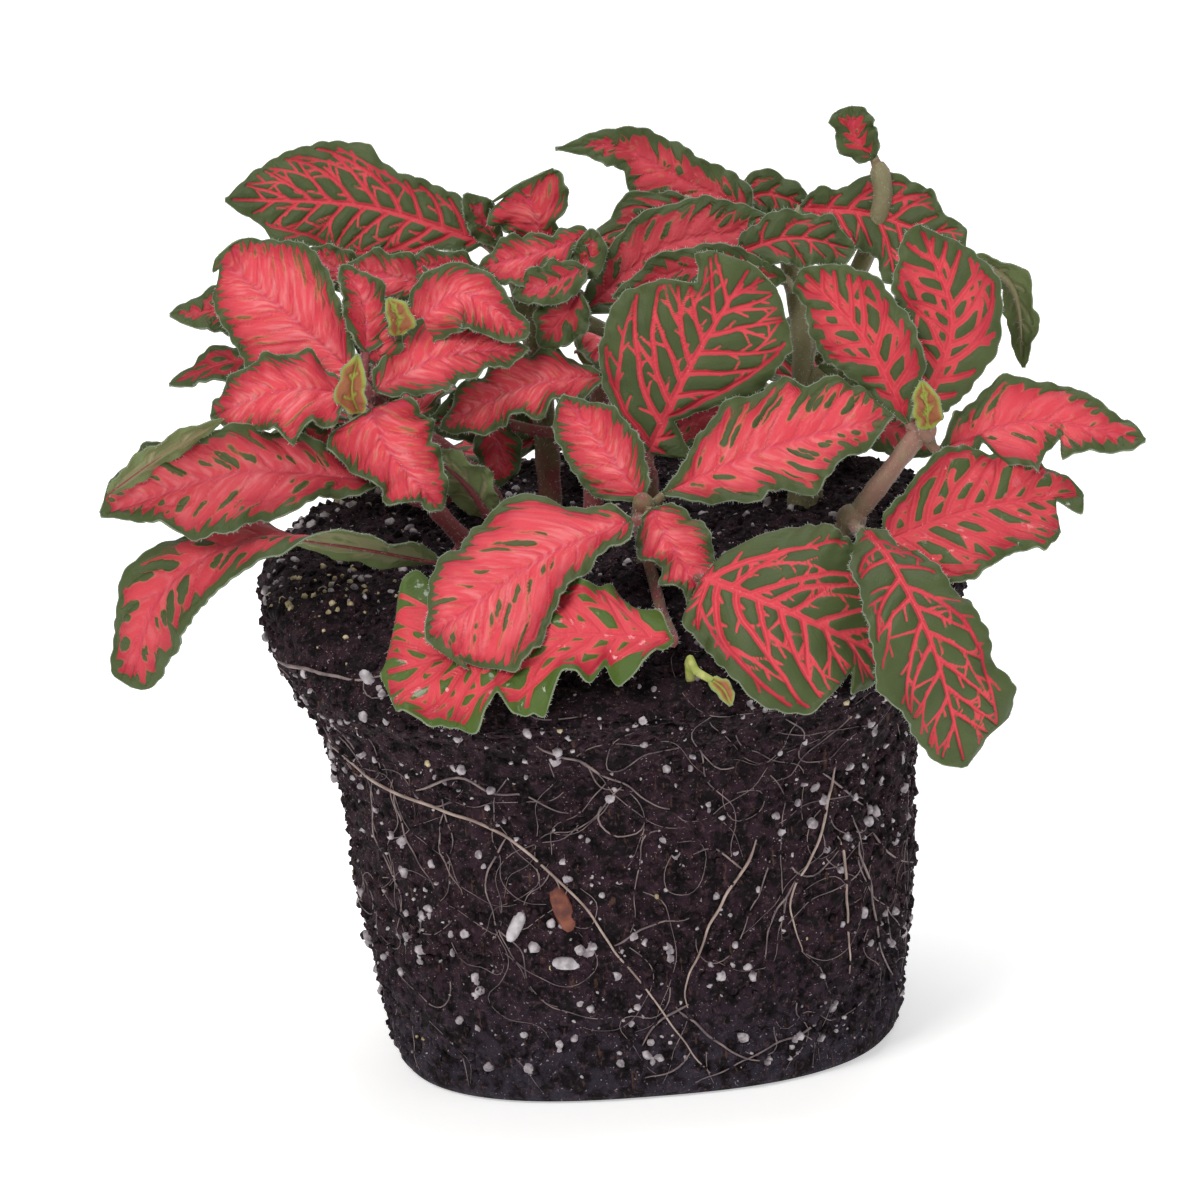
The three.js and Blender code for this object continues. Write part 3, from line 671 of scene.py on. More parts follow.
@dataclass
class Growth:
    """A Geometry Nodes tree that grows something over a host's faces or along a host's lines."""

    name: str
    graph: Graph = field(init=False)
    entries: dict[str, str] = field(init=False, default_factory=dict)
    source: bpy.types.Node = field(init=False)

    def __post_init__(self) -> None:
        """Starts the tree with a geometry input and output."""
        tree = bpy.data.node_groups.new(self.name, "GeometryNodeTree")
        self.graph = Graph(tree)
        tree.interface.new_socket("Geometry", in_out="INPUT", socket_type="NodeSocketGeometry")
        tree.interface.new_socket("Geometry", in_out="OUTPUT", socket_type="NodeSocketGeometry")

    def named(self, **defaults: tuple[str, Any]) -> None:
        """Args:
            defaults: each input's socket type and default by its name.
        """
        for name, (kind, value) in defaults.items():
            socket = self.graph.tree.interface.new_socket(name, in_out="INPUT", socket_type=kind)
            if value is not None:
                socket.default_value = value
            self.entries[name] = socket.identifier
        self.source = self.graph.node("NodeGroupInput")

    @property
    def given(self) -> bpy.types.bpy_prop_collection:
        """The group input's sockets."""
        return self.source.outputs

    def amount(self, name: str) -> Value:
        """A named input as a number."""
        return Value(self.graph, self.given[name])

    def scatter(self, share: Input) -> bpy.types.Node:
        """Points on the host's faces, by the Density input and the attribute that share names.

        Args:
            share: the attribute's name.

        Returns:
            The node that has the points.
        """
        named = self.graph.node("GeometryNodeInputNamedAttribute", {"Name": share}, data_type="FLOAT")
        inputs = {"Mesh": self.given["Geometry"], "Seed": self.given["Seed"],
                  "Density": self.amount("Density") * named.outputs[0]}
        return self.graph.node("GeometryNodeDistributePointsOnFaces", inputs, distribute_method="RANDOM")

    def drawn(self, low: Input, high: Input, seed: Input, single: bool = False) -> Socket:
        """A vector, or a single number, drawn for each point between two bounds.

        Args:
            low: the lower bound.
            high: the upper bound.
            seed: the draw's seed.
            single: whether it is one number.

        Returns:
            The drawn value.
        """
        kind, first = ("FLOAT", 2) if single else ("FLOAT_VECTOR", 0)
        inputs = {first: low, first + 1: high, "Seed": seed}
        return self.graph.node("FunctionNodeRandomValue", inputs, data_type=kind).outputs[int(single)]

    def placed(self, points: bpy.types.Node, shape: bpy.types.Node, turn: Input,
               scale: Input) -> Socket:
        """A shape at every point, turned and scaled.

        Args:
            points: the node that has the points.
            shape: the node that has the mesh.
            turn: the rotation.
            scale: the scale.

        Returns:
            The instances.
        """
        inputs = {"Points": points.outputs["Points"], "Instance": shape.outputs["Mesh"], "Rotation": turn,
                  "Scale": scale}
        return self.graph.node("GeometryNodeInstanceOnPoints", inputs).outputs[0]

    def end(self, geometry: Socket) -> None:
        """Realizes the instances, sets the material and closes the tree.

        Args:
            geometry: what has grown.
        """
        real = self.graph.node("GeometryNodeRealizeInstances", {0: geometry})
        inputs = {"Geometry": real.outputs[0], "Material": self.given["Material"]}
        dressed = self.graph.node("GeometryNodeSetMaterial", inputs)
        self.graph.node("NodeGroupOutput", {0: dressed.outputs[0]})

    def grow(self, host: Object, name: str, **values: Any) -> Object:
        """Runs the tree on a host and keeps the result as a plain mesh.

        Args:
            host: the object whose geometry the tree reads.
            name: the new piece's name.
            values: the named inputs.

        Returns:
            The new piece.
        """
        modifier = host.modifiers.new(self.name, "NODES")
        modifier.node_group = self.graph.tree
        for key, value in values.items():
            modifier[self.entries[key]] = value
        evaluated = host.evaluated_get(bpy.context.evaluated_depsgraph_get())
        mesh = bpy.data.meshes.new_from_object(evaluated)
        host.modifiers.remove(modifier)
        mesh.name = name
        mesh.shade_smooth()
        return linked(name, mesh)


def hair_growth() -> Growth:
    """Short tapering hairs, spread over the host's faces where an attribute allows them.

    Returns:
        The growth.
    """
    growth = Growth("hairs")
    growth.named(Density=("NodeSocketFloat", 1.0), Length=("NodeSocketFloat", 0.0006),
                 Thickness=("NodeSocketFloat", 0.00004), Lean=("NodeSocketFloat", 0.5),
                 Seed=("NodeSocketInt", 1), Material=("NodeSocketMaterial", None))
    graph, given = growth.graph, growth.given
    points = growth.scatter(HAIR_SHARE)
    inputs = {"Vertices": 3, "Radius Top": 0.0, "Radius Bottom": given["Thickness"],
              "Depth": given["Length"]}
    hair = graph.node("GeometryNodeMeshCone", inputs)
    lean = growth.amount("Lean")
    tilt = growth.drawn(graph.vector(0 - lean, 0 - lean, -HALF_TURN), graph.vector(lean, lean, HALF_TURN),
                        given["Seed"])
    turned = graph.node("FunctionNodeRotateRotation", {0: points.outputs["Rotation"], 1: tilt},
                        rotation_space="LOCAL")
    size = growth.drawn(0.5, 1.2, 7, single=True)
    growth.end(growth.placed(points, hair, turned.outputs[0], size))
    return growth


def lump_growth() -> Growth:
    """Rough lumps pressed into the host's faces, each with its own shape.

    Returns:
        The growth.
    """
    growth = Growth("lumps")
    growth.named(Share=("NodeSocketString", "crumb_share"), Density=("NodeSocketFloat", 1.0),
                 Smallest=("NodeSocketFloat", 0.0004), Largest=("NodeSocketFloat", 0.001),
                 Flatness=("NodeSocketFloat", 0.7), Detail=("NodeSocketInt", 1),
                 Roughness=("NodeSocketFloat", 0.4), Seed=("NodeSocketInt", 1),
                 Material=("NodeSocketMaterial", None))
    graph, given = growth.graph, growth.given
    points = growth.scatter(given["Share"])
    lump = graph.node("GeometryNodeMeshIcoSphere", {"Radius": 1.0, "Subdivisions": given["Detail"]})
    turn = growth.drawn((-HALF_TURN,) * 3, (HALF_TURN,) * 3, 3)
    size = Value(graph, growth.drawn(0.0, 1.0, 5, single=True))
    smallest, largest = growth.amount("Smallest"), growth.amount("Largest")
    radius = size ** 2.2 * (largest - smallest) + smallest
    scale = graph.vector(radius, radius * 0.8, radius * growth.amount("Flatness"))
    real = graph.node("GeometryNodeRealizeInstances", {0: growth.placed(points, lump, turn, scale)})
    rough = graph.node("ShaderNodeTexNoise", {"Scale": 1300.0, "Detail": 2.0})
    shift = graph.node("ShaderNodeVectorMath", {0: rough.outputs[1], 1: (0.5, 0.5, 0.5)},
                       operation="SUBTRACT")
    spread = largest * growth.amount("Roughness") * 2.0
    shift = graph.node("ShaderNodeVectorMath", {0: shift.outputs[0], "Scale": spread}, operation="SCALE")
    moved = graph.node("GeometryNodeSetPosition", {0: real.outputs[0], "Offset": shift.outputs[0]})
    growth.end(moved.outputs[0])
    return growth


def tube_growth() -> Growth:
    """Round tubes along the host's lines, as thick as each point's radius.

    Returns:
        The growth.
    """
    growth = Growth("tubes")
    growth.named(Sides=("NodeSocketInt", 8), Material=("NodeSocketMaterial", None))
    graph, given = growth.graph, growth.given
    ring = graph.node("GeometryNodeCurvePrimitiveCircle", {"Resolution": given["Sides"], "Radius": 1.0},
                      mode="RADIUS")
    inputs = {"Curve": given["Geometry"], "Profile Curve": ring.outputs["Curve"], "Fill Caps": True}
    tube = graph.node("GeometryNodeCurveToMesh", inputs)
    if "Scale" in tube.inputs:
        radius = graph.node("GeometryNodeInputRadius")
        graph.feed(tube.inputs["Scale"], radius.outputs[0])
    growth.end(tube.outputs[0])
    return growth


def lines_object(name: str, lines: Sequence[Line]) -> Object:
    """Curves for the tube growth.

    Args:
        name: the object's name.
        lines: each line's points and radii, in millimetres.

    Returns:
        A curve object, linked to the scene.
    """
    data = bpy.data.curves.new(name, "CURVE")
    data.dimensions = "3D"
    for points, radii in lines:
        spline = data.splines.new("POLY")
        spline.points.add(len(points) - 1)
        spline.points.foreach_set("co", np.hstack([points * MM, np.ones((len(points), 1))]).ravel())
        spline.points.foreach_set("radius", np.asarray(radii, float) * MM)
    return linked(name, data)


def tubes(growth: Growth, name: str, lines: Sequence[Line],
          material: Material, sides: int = 8) -> Object:
    """Grows tubes along lines and drops the lines.

    Args:
        growth: the tube growth.
        name: the piece's name.
        lines: each line's points and radii.
        material: its finish.
        sides: sides of a tube.

    Returns:
        The piece.
    """
    host = lines_object(name + "_lines", lines)
    piece = growth.grow(host, name, Sides=sides, Material=material)
    bpy.data.objects.remove(host)
    return piece


# ---------------------------------------------------------------- leaves


@dataclass(frozen=True)
class Leaf:
    """One leaf: where it grows, its midrib in the front view, its shape and its looks.

    Attributes:
        foot: the stalk's foot on its stem.
        path: midrib points across, up and, where given, back; the first has its depth.
        width: across the widest place.
        faces: rise and turn of the upper face at each path point.
        margin: places where the edge runs in the front view, in any order.
        pink: how far the veins spread over the green; lime, wet: how much of each look it has;
            painted_shade: how much painted shade darkens a leaf that lies deep in the plant.
        nerves: side veins to a side.
    """

    foot: Point
    path: tuple[Point, ...]
    width: float
    faces: tuple[tuple[float, float], ...] = ((35, 0),)
    widest: float = 0.45
    point: float = 1.3
    fold: float = 14
    droop: float = 0.12
    ruffle: float = 0.6
    waves: float = 3
    phase: float = 0
    scallop: float = 0.07
    pink: float = 0.75
    # How much painted shade darkens the leaf, for leaves deep in the plant.
    painted_shade: float = 0.0
    lime: float = 0.0
    wet: float = 0.0
    nerves: int = 7
    stalk: float = 0.8
    margin: tuple[Point, ...] = ()


NERVE_SPACING = 3.3


def nerve_count(leaf: Leaf, length: float) -> int:
    """How many side veins a leaf of this length has to a side."""
    return int(np.clip(round(length / NERVE_SPACING), 3, leaf.nerves))


class VeinNet:
    """A blade's branching veins in its flattened plane: u along the midrib and v across it, in mm."""

    STEP = 0.5
    LEAN, BEND = 0.80, 0.03
    BASE_ANGLE, ANGLE_FALL = math.radians(64), math.radians(28)
    BASAL_ANGLE, SECOND_ANGLE = math.radians(98), math.radians(80)
    HUG = 3.0
    MEETING, FREE_RUN = 0.52, 1.35
    FINEST, TAPER = 0.14, 0.58
    NET_MARGIN, FLECK_MARGIN = 1.3, 0.8
    RIB_POINTS, RIB_SHARE, RIB_TAPER = 40, 0.97, 0.72
    MAIN_REACH, FORK_REACH = 60.0, 40.0
    MAIN_HUG, FINE_HUG = 0.24, 0.06
    FORKED_FROM, SHORTEST_TWIG = 3.5, 0.8
    FARTHEST = 4.0

    def __init__(self, length: float, stations: Array, halves: Sequence[Array], leaf: Leaf,
                 rng: np.random.Generator) -> None:
        """Traces the midrib and every side vein with its branches.

        Args:
            length: the midrib's length.
            stations: shares of the length.
            halves: the half width of each side at the stations.
            leaf: the leaf.
            rng: the random draw.
        """
        self.length, self.stations, self.halves, self.rng = length, stations, halves, rng
        self.margin = self.NET_MARGIN if leaf.pink < 0.5 else self.FLECK_MARGIN
        self.lines: list[Array] = []
        self.laid = np.zeros((0, 2))
        widest = float(max(half.max() for half in halves))
        busy = float(smoothstep(0.1, 0.5, np.array(leaf.pink)))
        self.stout = 0.20 + 0.028 * widest + 0.10 * busy
        u = np.linspace(0, length * self.RIB_SHARE, self.RIB_POINTS)
        rib = (self.stout + 0.20) * (1 - self.RIB_TAPER * u / length)
        self.keep(np.stack([u, np.zeros(self.RIB_POINTS), rib], 1))
        nerves = nerve_count(leaf, length)
        for k in range(nerves):
            for side in (-1, 1):
                self.keep(self.side_vein(side, k / nerves))
        for side in (-1, 1):
            if self.half(1.5, side) > 3.0:
                self.keep(self.trace(side, 0.9, 0.0, self.BASAL_ANGLE, self.stout * 0.8, self.MAIN_REACH))
            if self.half(3.0, side) > 6.0:
                self.keep(self.trace(side, 1.2, 0.4, self.SECOND_ANGLE, self.stout * 0.8, self.MAIN_REACH))
        self.mains = len(self.lines)
        self.reach, self.spacing = 2.6 + 2.2 * busy, 2.3 - 0.1 * busy
        for line in list(self.lines[1:]):
            self.branch(line)

    def keep(self, line: Array) -> None:
        """Adds a vein, if it has a length.

        Args:
            line: rows of u, v and radius.
        """
        if len(line) > 1:
            self.lines.append(line)
            self.laid = np.vstack([self.laid, line[:, :2]])

    def half(self, u: float, side: int) -> float:
        """The half width of one side at u."""
        return float(np.interp(u / self.length, self.stations, self.halves[side > 0]))

    def trace(self, side: int, u: float, w: float, heading: float, radius: float, reach: float,
              parent: Optional[Array] = None) -> Array:
        """A vein that bends forward, hugs the margin and ends where it meets another.

        Args:
            side: which half of the blade.
            u: its start along the midrib.
            w: its start out from the midrib.
            heading: its first angle from the midrib, outwards.
            radius: its radius at the start.
            reach: its greatest length.
            parent: the vein it leaves; without one, it leaves all that lie around its start.

        Returns:
            Rows of u, v and radius.
        """
        rows, run = [], 0.0
        left = self.laid if parent is None else parent[:, :2]
        left = left[np.abs(left - (u, side * w)).sum(1) < self.FREE_RUN]
        others = self.laid[~(self.laid[:, None] == left).all(-1).any(1)]
        while run < reach:
            edge = self.half(u, side) - w
            if w < -0.01 or edge < self.margin * 0.8 or not 0 <= u < self.length - 0.6:
                break
            rows.append((u, side * w))
            if len(others) and np.min(np.abs(others - rows[-1]).sum(1)) < self.MEETING:
                break
            slope = math.atan(self.half(u + 0.5, side) - self.half(u - 0.5, side))
            hug = self.MAIN_HUG if reach == self.MAIN_REACH else self.FINE_HUG
            hug *= max(0.0, 1 - edge / self.HUG)
            heading += (slope - heading) * hug - 0.008 + self.rng.normal(0, 0.05)
            u += self.STEP * math.cos(heading)
            w += self.STEP * math.sin(heading)
            run += self.STEP
        if len(rows) < 2:
            return np.zeros((0, 3))
        share = np.linspace(0, 1, len(rows))
        thin = np.maximum(radius * (1 - self.TAPER * share), self.FINEST)
        return np.hstack([np.array(rows), thin[:, None]])

    def side_vein(self, side: int, share: float) -> Array:
        """A side vein that leaves the midrib at a share of its length.

        Args:
            side: which half of the blade.
            share: where it starts.

        Returns:
            Rows of u, v and radius.
        """
        u = self.length * (0.03 + 0.86 * share + self.rng.uniform(-0.008, 0.008))
        u += self.length * 0.045 * (side > 0)
        heading = self.BASE_ANGLE - self.ANGLE_FALL * share + self.rng.normal(0, 0.05)
        return self.trace(side, u, 0.0, heading, self.stout * (1 - 0.4 * share), self.MAIN_REACH)

    def branch(self, line: Array) -> None:
        """Adds a vein's forks and twigs.

        Args:
            line: the vein.
        """
        side = 1 if line[-1, 1] > 0 else -1
        forks = ((self.rng.uniform(0.30, 0.46), 0.40), (self.rng.uniform(0.52, 0.70), -0.42))
        if len(line) * self.STEP > self.FORKED_FROM:
            for share, turn in forks:
                turn += self.rng.normal(0, 0.06)
                fork = self.sprig(line, side, share, turn, 0.80, self.FORK_REACH)
                if len(fork) > 4:
                    self.twigs(fork, side)
        self.twigs(line, side)

    def twigs(self, line: Array, side: int) -> None:
        """Adds short veins to both sides of a vein, in turn.

        Args:
            line: the vein.
            side: which half of the blade it runs in.
        """
        place, sign = self.rng.uniform(1.4, 2.4), 1 if self.rng.random() < 0.5 else -1
        length = len(line) * self.STEP
        while place < length - self.SHORTEST_TWIG:
            turn = sign * self.rng.uniform(0.40, 0.80)
            reach = self.reach * self.rng.uniform(0.5, 1.1) * (1.35 if turn > 0 else 1.0)
            self.sprig(line, side, place / length, turn, 0.55, reach)
            place += self.spacing * self.rng.uniform(0.7, 1.3)
            sign = -sign

    def sprig(self, line: Array, side: int, share: float, turn: float, stout: float,
              reach: float) -> Array:
        """Adds a vein that leaves another at a share of its length, turned from it and less stout.

        Args:
            line: the vein it leaves.
            side: which half of the blade it runs in.
            share: where it starts.
            turn: its turn from the vein, outwards.
            stout: its radius as a share of the vein's.
            reach: its greatest length.

        Returns:
            Rows of u, v and radius.
        """
        i = min(int(share * (len(line) - 1)), len(line) - 2)
        step = line[i + 1] - line[i]
        heading = math.atan2(side * step[1], step[0]) + turn
        made = self.trace(side, line[i, 0], abs(line[i, 1]), heading, line[i, 2] * stout, reach, line)
        self.keep(made)
        return made

    def distances(self, points: Array) -> Line:
        """How far points lie from the veins' edges, and from the main veins' middles.

        Args:
            points: rows of u and v.

        Returns:
            Both distances of each point, in mm.
        """
        depth = np.full(len(points), self.FARTHEST)
        main = np.full(len(points), self.FARTHEST)
        for i, line in enumerate(self.lines):
            start, step = line[:-1, :2], np.diff(line[:, :2], axis=0)
            low, high = line[:, :2].min(0) - self.FARTHEST, line[:, :2].max(0) + self.FARTHEST
            near = np.flatnonzero(((points > low) & (points < high)).all(1))
            if not len(near):
                continue
            away = points[near, None] - start
            share = np.clip((away * step).sum(-1) / (step * step).sum(-1), 0, 1)
            gap = np.linalg.norm(away - share[..., None] * step, axis=-1)
            inside = gap - (line[:-1, 2] + share * np.diff(line[:, 2]))
            depth[near] = np.minimum(depth[near], inside.min(1))
            if i < self.mains:
                main[near] = np.minimum(main[near], gap.min(1))
        return depth, main


class Blade:
    """The thin veined blade of a leaf, as a surface over its length t and its width s from -1 to 1."""

    THICKNESS, RIM_THINNING = 0.4, 0.35
    NET_CELL, FLECK_CELL = 0.29, 0.50
    NETTED_BELOW = 0.60
    QUILT, QUILT_REACH = 0.30, 0.9
    STEEPEST = 14.0
    STATIONS, KNOWN_APART = 161, 0.09
    TOOTH_LENGTH, TOOTH_DEPTH, SMALL_DEPTH = 2.3, 0.30, 0.16
    LEAST_HALF = 0.3
    MOST_ROWS, MOST_COLUMNS = 220, 44
    COLUMN_SPREAD = 0.8
    FRILL, FRILL_WAVES, FINE_WAVES = 0.34, 7.3, 11.9
    FAR_OFF = 1e9
    SHORTEST_STALK, STALK_SAG = 0.8, 0.06

    def __init__(self, leaf: Leaf, seed: int) -> None:
        """Lays out the midrib and the two half widths of a leaf.

        Args:
            leaf: the leaf.
            seed: the seed of its teeth, waves and veins.
        """
        self.leaf, self.seed = leaf, seed
        self.cell = self.NET_CELL if leaf.pink < self.NETTED_BELOW else self.FLECK_CELL
        self.rng = np.random.default_rng(seed)
        self.offsets = self.rng.uniform(0, 6.28, 8)
        self.midrib = SmoothPath(self.midrib_points())
        self.stations = np.linspace(0, 1, self.STATIONS)
        self.halves = [self.half_profile(-1), self.half_profile(1)]

    def midrib_points(self) -> list[Array]:
        """The midrib's points; one without a depth lies in the plane of the blade.

        Returns:
            The points.
        """
        leaf = self.leaf
        points, last = [], leaf.path[0]
        for i, place in enumerate(leaf.path):
            if len(place) == 3:
                back = place[2]
            else:
                n = direction(*leaf.faces[min(i, len(leaf.faces) - 1)])
                rise = n[0] * (place[0] - last[0]) + n[2] * (place[1] - last[1]) / COS_TILT
                back = last[2] + rise / (n[2] * math.tan(VIEW_TILT) - n[1])
            last = (place[0], place[1], back)
            points.append(seen_at(last))
        return points

    def frame_at(self, t: Array) -> tuple[Array, Array, Array]:
        """The midrib's points, sideways directions and upward normals at t.

        Args:
            t: shares of the midrib's length.

        Returns:
            Points, sideways directions and normals.
        """
        faces = [direction(*face) for face in self.leaf.faces]
        spots = np.linspace(0, 1, len(faces)) if len(faces) > 1 else np.array([0.0])
        hint = np.stack([np.interp(t, spots, [face[k] for face in faces]) for k in range(3)], -1)
        along = self.midrib.tangent(t)
        side = unit(np.cross(along, hint))
        return self.midrib.at(t), side, unit(np.cross(side, along))

    def outline(self, t: Array) -> Array:
        """The half width's share of the widest: a rounded base and a pointed tip.

        Args:
            t: shares of the midrib's length.

        Returns:
            The shares.
        """
        widest, point = self.leaf.widest, self.leaf.point
        base = (np.clip(t, 0, 1) / widest) ** (point * widest)
        return base * (np.clip(1 - t, 0, 1) / (1 - widest)) ** (point * (1 - widest))

    def wave(self, t: Array, sign: float) -> Array:
        """The slow wave of the margin on one side."""
        return np.sin(2 * math.pi * self.leaf.waves * t + self.leaf.phase + (1.3 if sign > 0 else 0))

    def half_profile(self, sign: float) -> Array:
        """The half width at each station of one side, through the margin's known places.

        Args:
            sign: the side, -1 or 1.

        Returns:
            The half widths.
        """
        t, leaf = self.stations, self.leaf
        plain = leaf.width / 2 * self.outline(t) * (1 + leaf.scallop * self.wave(t, sign))
        known = [spot for spot in map(self.place_on_margin, leaf.margin) if spot[2] == sign]
        if known:
            known.sort()
            spots = np.array([spot[0] for spot in known])
            kept = [(x, y) for x, y in zip(t[::8], plain[::8])
                    if np.min(np.abs(spots - x)) > self.KNOWN_APART]
            kept += [(spot[0], spot[1]) for spot in known] + [(0.0, 0.4), (1.0, 0.3)]
            kept.sort()
            plain = np.interp(t, [k[0] for k in kept], [k[1] for k in kept])
            kernel = np.exp(-np.linspace(-1.6, 1.6, 5) ** 2)
            plain = np.convolve(np.pad(plain, 2, "edge"), kernel / kernel.sum(), "valid")
        teeth = self.midrib.length / self.TOOTH_LENGTH
        tooth = np.abs(np.sin(math.pi * teeth * t + self.offsets[0] + sign)) - 0.6
        small = np.sin(2 * math.pi * teeth * 0.37 * t + self.offsets[1] + 2 * sign)
        plain = plain + (self.TOOTH_DEPTH * tooth + self.SMALL_DEPTH * small) * np.clip(plain / 3, 0, 1)
        return np.maximum(plain, self.LEAST_HALF)

    def place_on_margin(self, place: Point) -> tuple[float, float, float]:
        """Where a place of the front view falls on the margin.

        Args:
            place: across and up in the front view.

        Returns:
            The station t, the half width there and the side's sign.
        """
        t = np.linspace(0.02, 0.96, 321)
        centre, side, normal = self.frame_at(t)
        rise = math.tan(math.radians(self.leaf.fold)) - self.leaf.droop
        best, found = (0.0, self.FAR_OFF, 1.0), 0.5
        for sign in (-1.0, 1.0):
            out = flat(side * sign + normal * rise)
            gap = np.asarray(place) - flat(centre)
            half = (gap * out).sum(-1) / (out * out).sum(-1)
            miss = np.linalg.norm(gap - out * half[:, None], axis=-1)
            cost = miss + 0.02 * np.abs(half) + np.where(half > 0.2, 0, 50)
            i = int(np.argmin(cost))
            if half[i] > 0.2 and cost[i] < best[1]:
                best = (float(t[i]), float(cost[i]), sign)
                found = float(half[i])
        return best[0], found, best[2]

    def rows(self) -> Array:
        """Where the mesh's rows lie: closer together where the margins run out steeply.

        Returns:
            Shares of the midrib's length.
        """
        slopes = [np.abs(np.gradient(half, self.stations * self.midrib.length)) for half in self.halves]
        pace = np.sqrt(1 + np.minimum(np.maximum(*slopes), self.STEEPEST) ** 2)
        pace = np.convolve(np.pad(pace, 2, "edge"), np.full(5, 0.2), "valid")
        course = np.concatenate([[0], np.cumsum((pace[1:] + pace[:-1]) / 2)])
        length = course[-1] / (len(course) - 1) * self.midrib.length
        rows = int(np.clip(length / self.cell, 10, self.MOST_ROWS))
        return np.interp(np.linspace(0, course[-1], rows + 1), course, self.stations)

    def grid(self) -> dict[str, Array]:
        """The middle surface with its veins' courses.

        Returns:
            Arrays over rows along and columns across: points, share, main, edge, phase, depth, t.
        """
        leaf, length = self.leaf, self.midrib.length
        t = self.rows()
        widest = float(max(self.halves[0].max(), self.halves[1].max()))
        columns = 2 * int(np.clip(widest / self.cell, 4, self.MOST_COLUMNS))
        spread = self.COLUMN_SPREAD
        s = np.sin(np.linspace(-1, 1, columns + 1) * math.pi / 2 * spread) / math.sin(math.pi / 2 * spread)
        centre, side, normal = self.frame_at(t)
        left, right = (np.interp(t, self.stations, half) for half in self.halves)
        half = np.where(s[None] < 0, left[:, None], right[:, None])
        out = np.abs(s)[None]
        wave = np.where(s[None] < 0, self.wave(t, -1)[:, None], self.wave(t, 1)[:, None])
        lift = half * (math.tan(math.radians(leaf.fold)) * np.sqrt(out**2 + 0.004) - leaf.droop * out**2)
        lift += leaf.ruffle * wave * out**2 * np.minimum(1, half / 3)
        o = self.offsets
        frill = np.sin(2 * math.pi * self.FRILL_WAVES * t[:, None] + o[2] + np.sign(s)[None]) * 0.6
        fine = np.sin(2 * math.pi * self.FINE_WAVES * t[:, None] + o[3] - 2 * np.sign(s)[None]) * 0.4
        lift += self.FRILL * (0.4 + leaf.ruffle) * (frill + fine) * out**4 * np.minimum(1, half / 4)

        across = s[None] * half
        along = np.broadcast_to((t * length)[:, None], across.shape)
        wide = np.abs(across)
        phase = (along - VeinNet.LEAN * wide - VeinNet.BEND * wide**2) / length * nerve_count(leaf, length)
        phase = phase + 0.25 * np.tanh(across / 0.5) + 20
        edge = np.minimum((1 - out) * half, ((1 - t) * length * 0.9)[:, None])
        net = VeinNet(length, self.stations, self.halves, leaf, np.random.default_rng(self.seed + 1))
        depth, main = net.distances(np.stack([along.ravel(), across.ravel()], 1))
        depth, main = depth.reshape(across.shape), main.reshape(across.shape)
        lift += self.QUILT * (1 - np.exp(-((main / self.QUILT_REACH) ** 2))) * smoothstep(0, 1.5, edge)
        points = centre[:, None] + side[:, None] * across[..., None] + normal[:, None] * lift[..., None]
        share, t = (np.broadcast_to(values, across.shape) for values in (s[None], t[:, None]))
        return {"points": points, "share": share, "main": main, "edge": edge, "phase": phase,
                "depth": depth, "t": t}

    def gap(self) -> float:
        """The distance between two side veins, in mm."""
        return self.midrib.length / nerve_count(self.leaf, self.midrib.length) * 0.76

    def build(self, name: str, finish: Material) -> Object:
        """The blade as a closed mesh with its veins' courses and its bake layout.

        Args:
            name: the piece's name.
            finish: its material.

        Returns:
            The piece.
        """
        grid = self.grid()
        points = grid["points"]
        rows, columns = points.shape[0] - 1, points.shape[1] - 1
        along = np.gradient(points, axis=0)
        across = np.gradient(points, axis=1)
        normal = unit(np.cross(across, along))
        thick = (self.THICKNESS / 2 * (1 - self.RIM_THINNING * np.abs(grid["share"])))[..., None]
        layers = [points + normal * thick, points - normal * thick]
        vertices = np.concatenate([layer.reshape(-1, 3) for layer in layers])
        top, under = np.arange(len(vertices)).reshape(2, rows + 1, columns + 1)
        faces = grid_faces(top) + [[face[0], *face[:0:-1]] for face in grid_faces(under)]
        rims = [np.concatenate([layer[0, :-1], layer[:-1, -1], layer[-1, :0:-1], layer[:0:-1, 0]])
                for layer in (top, under)]
        corners = [np.roll(rims[0], -1), rims[0], rims[1], np.roll(rims[1], -1)]
        faces += np.stack(corners, -1).tolist()
        obj = new_object(name, vertices, faces, [finish])
        self.mark(obj.data, grid, len(rims[0]))
        return obj

    def mark(self, mesh: Mesh, grid: dict[str, Array], rim: int) -> None:
        """Stores the veins' courses, the looks with the painted shade, the hairy rim and the bake layout on
        the mesh.

        Args:
            mesh: the blade's mesh.
            grid: the middle surface.
            rim: faces round the rim.
        """
        leaf = self.leaf
        count = grid["t"].size
        twice = {key: np.tile(values.reshape(-1), 2) for key, values in grid.items() if key != "points"}
        same = np.ones(2 * count)
        upper = np.concatenate([np.ones(count), np.zeros(count)])
        store(mesh, "veins", np.stack([twice["phase"], twice["share"], twice["depth"]], 1))
        store(mesh, "reach", np.stack([twice["main"], twice["edge"], same * self.gap()], 1))
        seed = self.seed % 97 / 97
        # The second number is the leaf's painted shade.
        store(mesh, "nature", np.stack([same * leaf.pink, same * leaf.painted_shade, same * seed], 1))
        store(mesh, "finish", np.stack([same * leaf.lime, same * leaf.wet, upper], 1))
        quads = len(mesh.polygons)
        hairy = np.zeros(quads)
        hairy[quads - rim:] = 1
        store(mesh, HAIR_SHARE, hairy, "FACE")

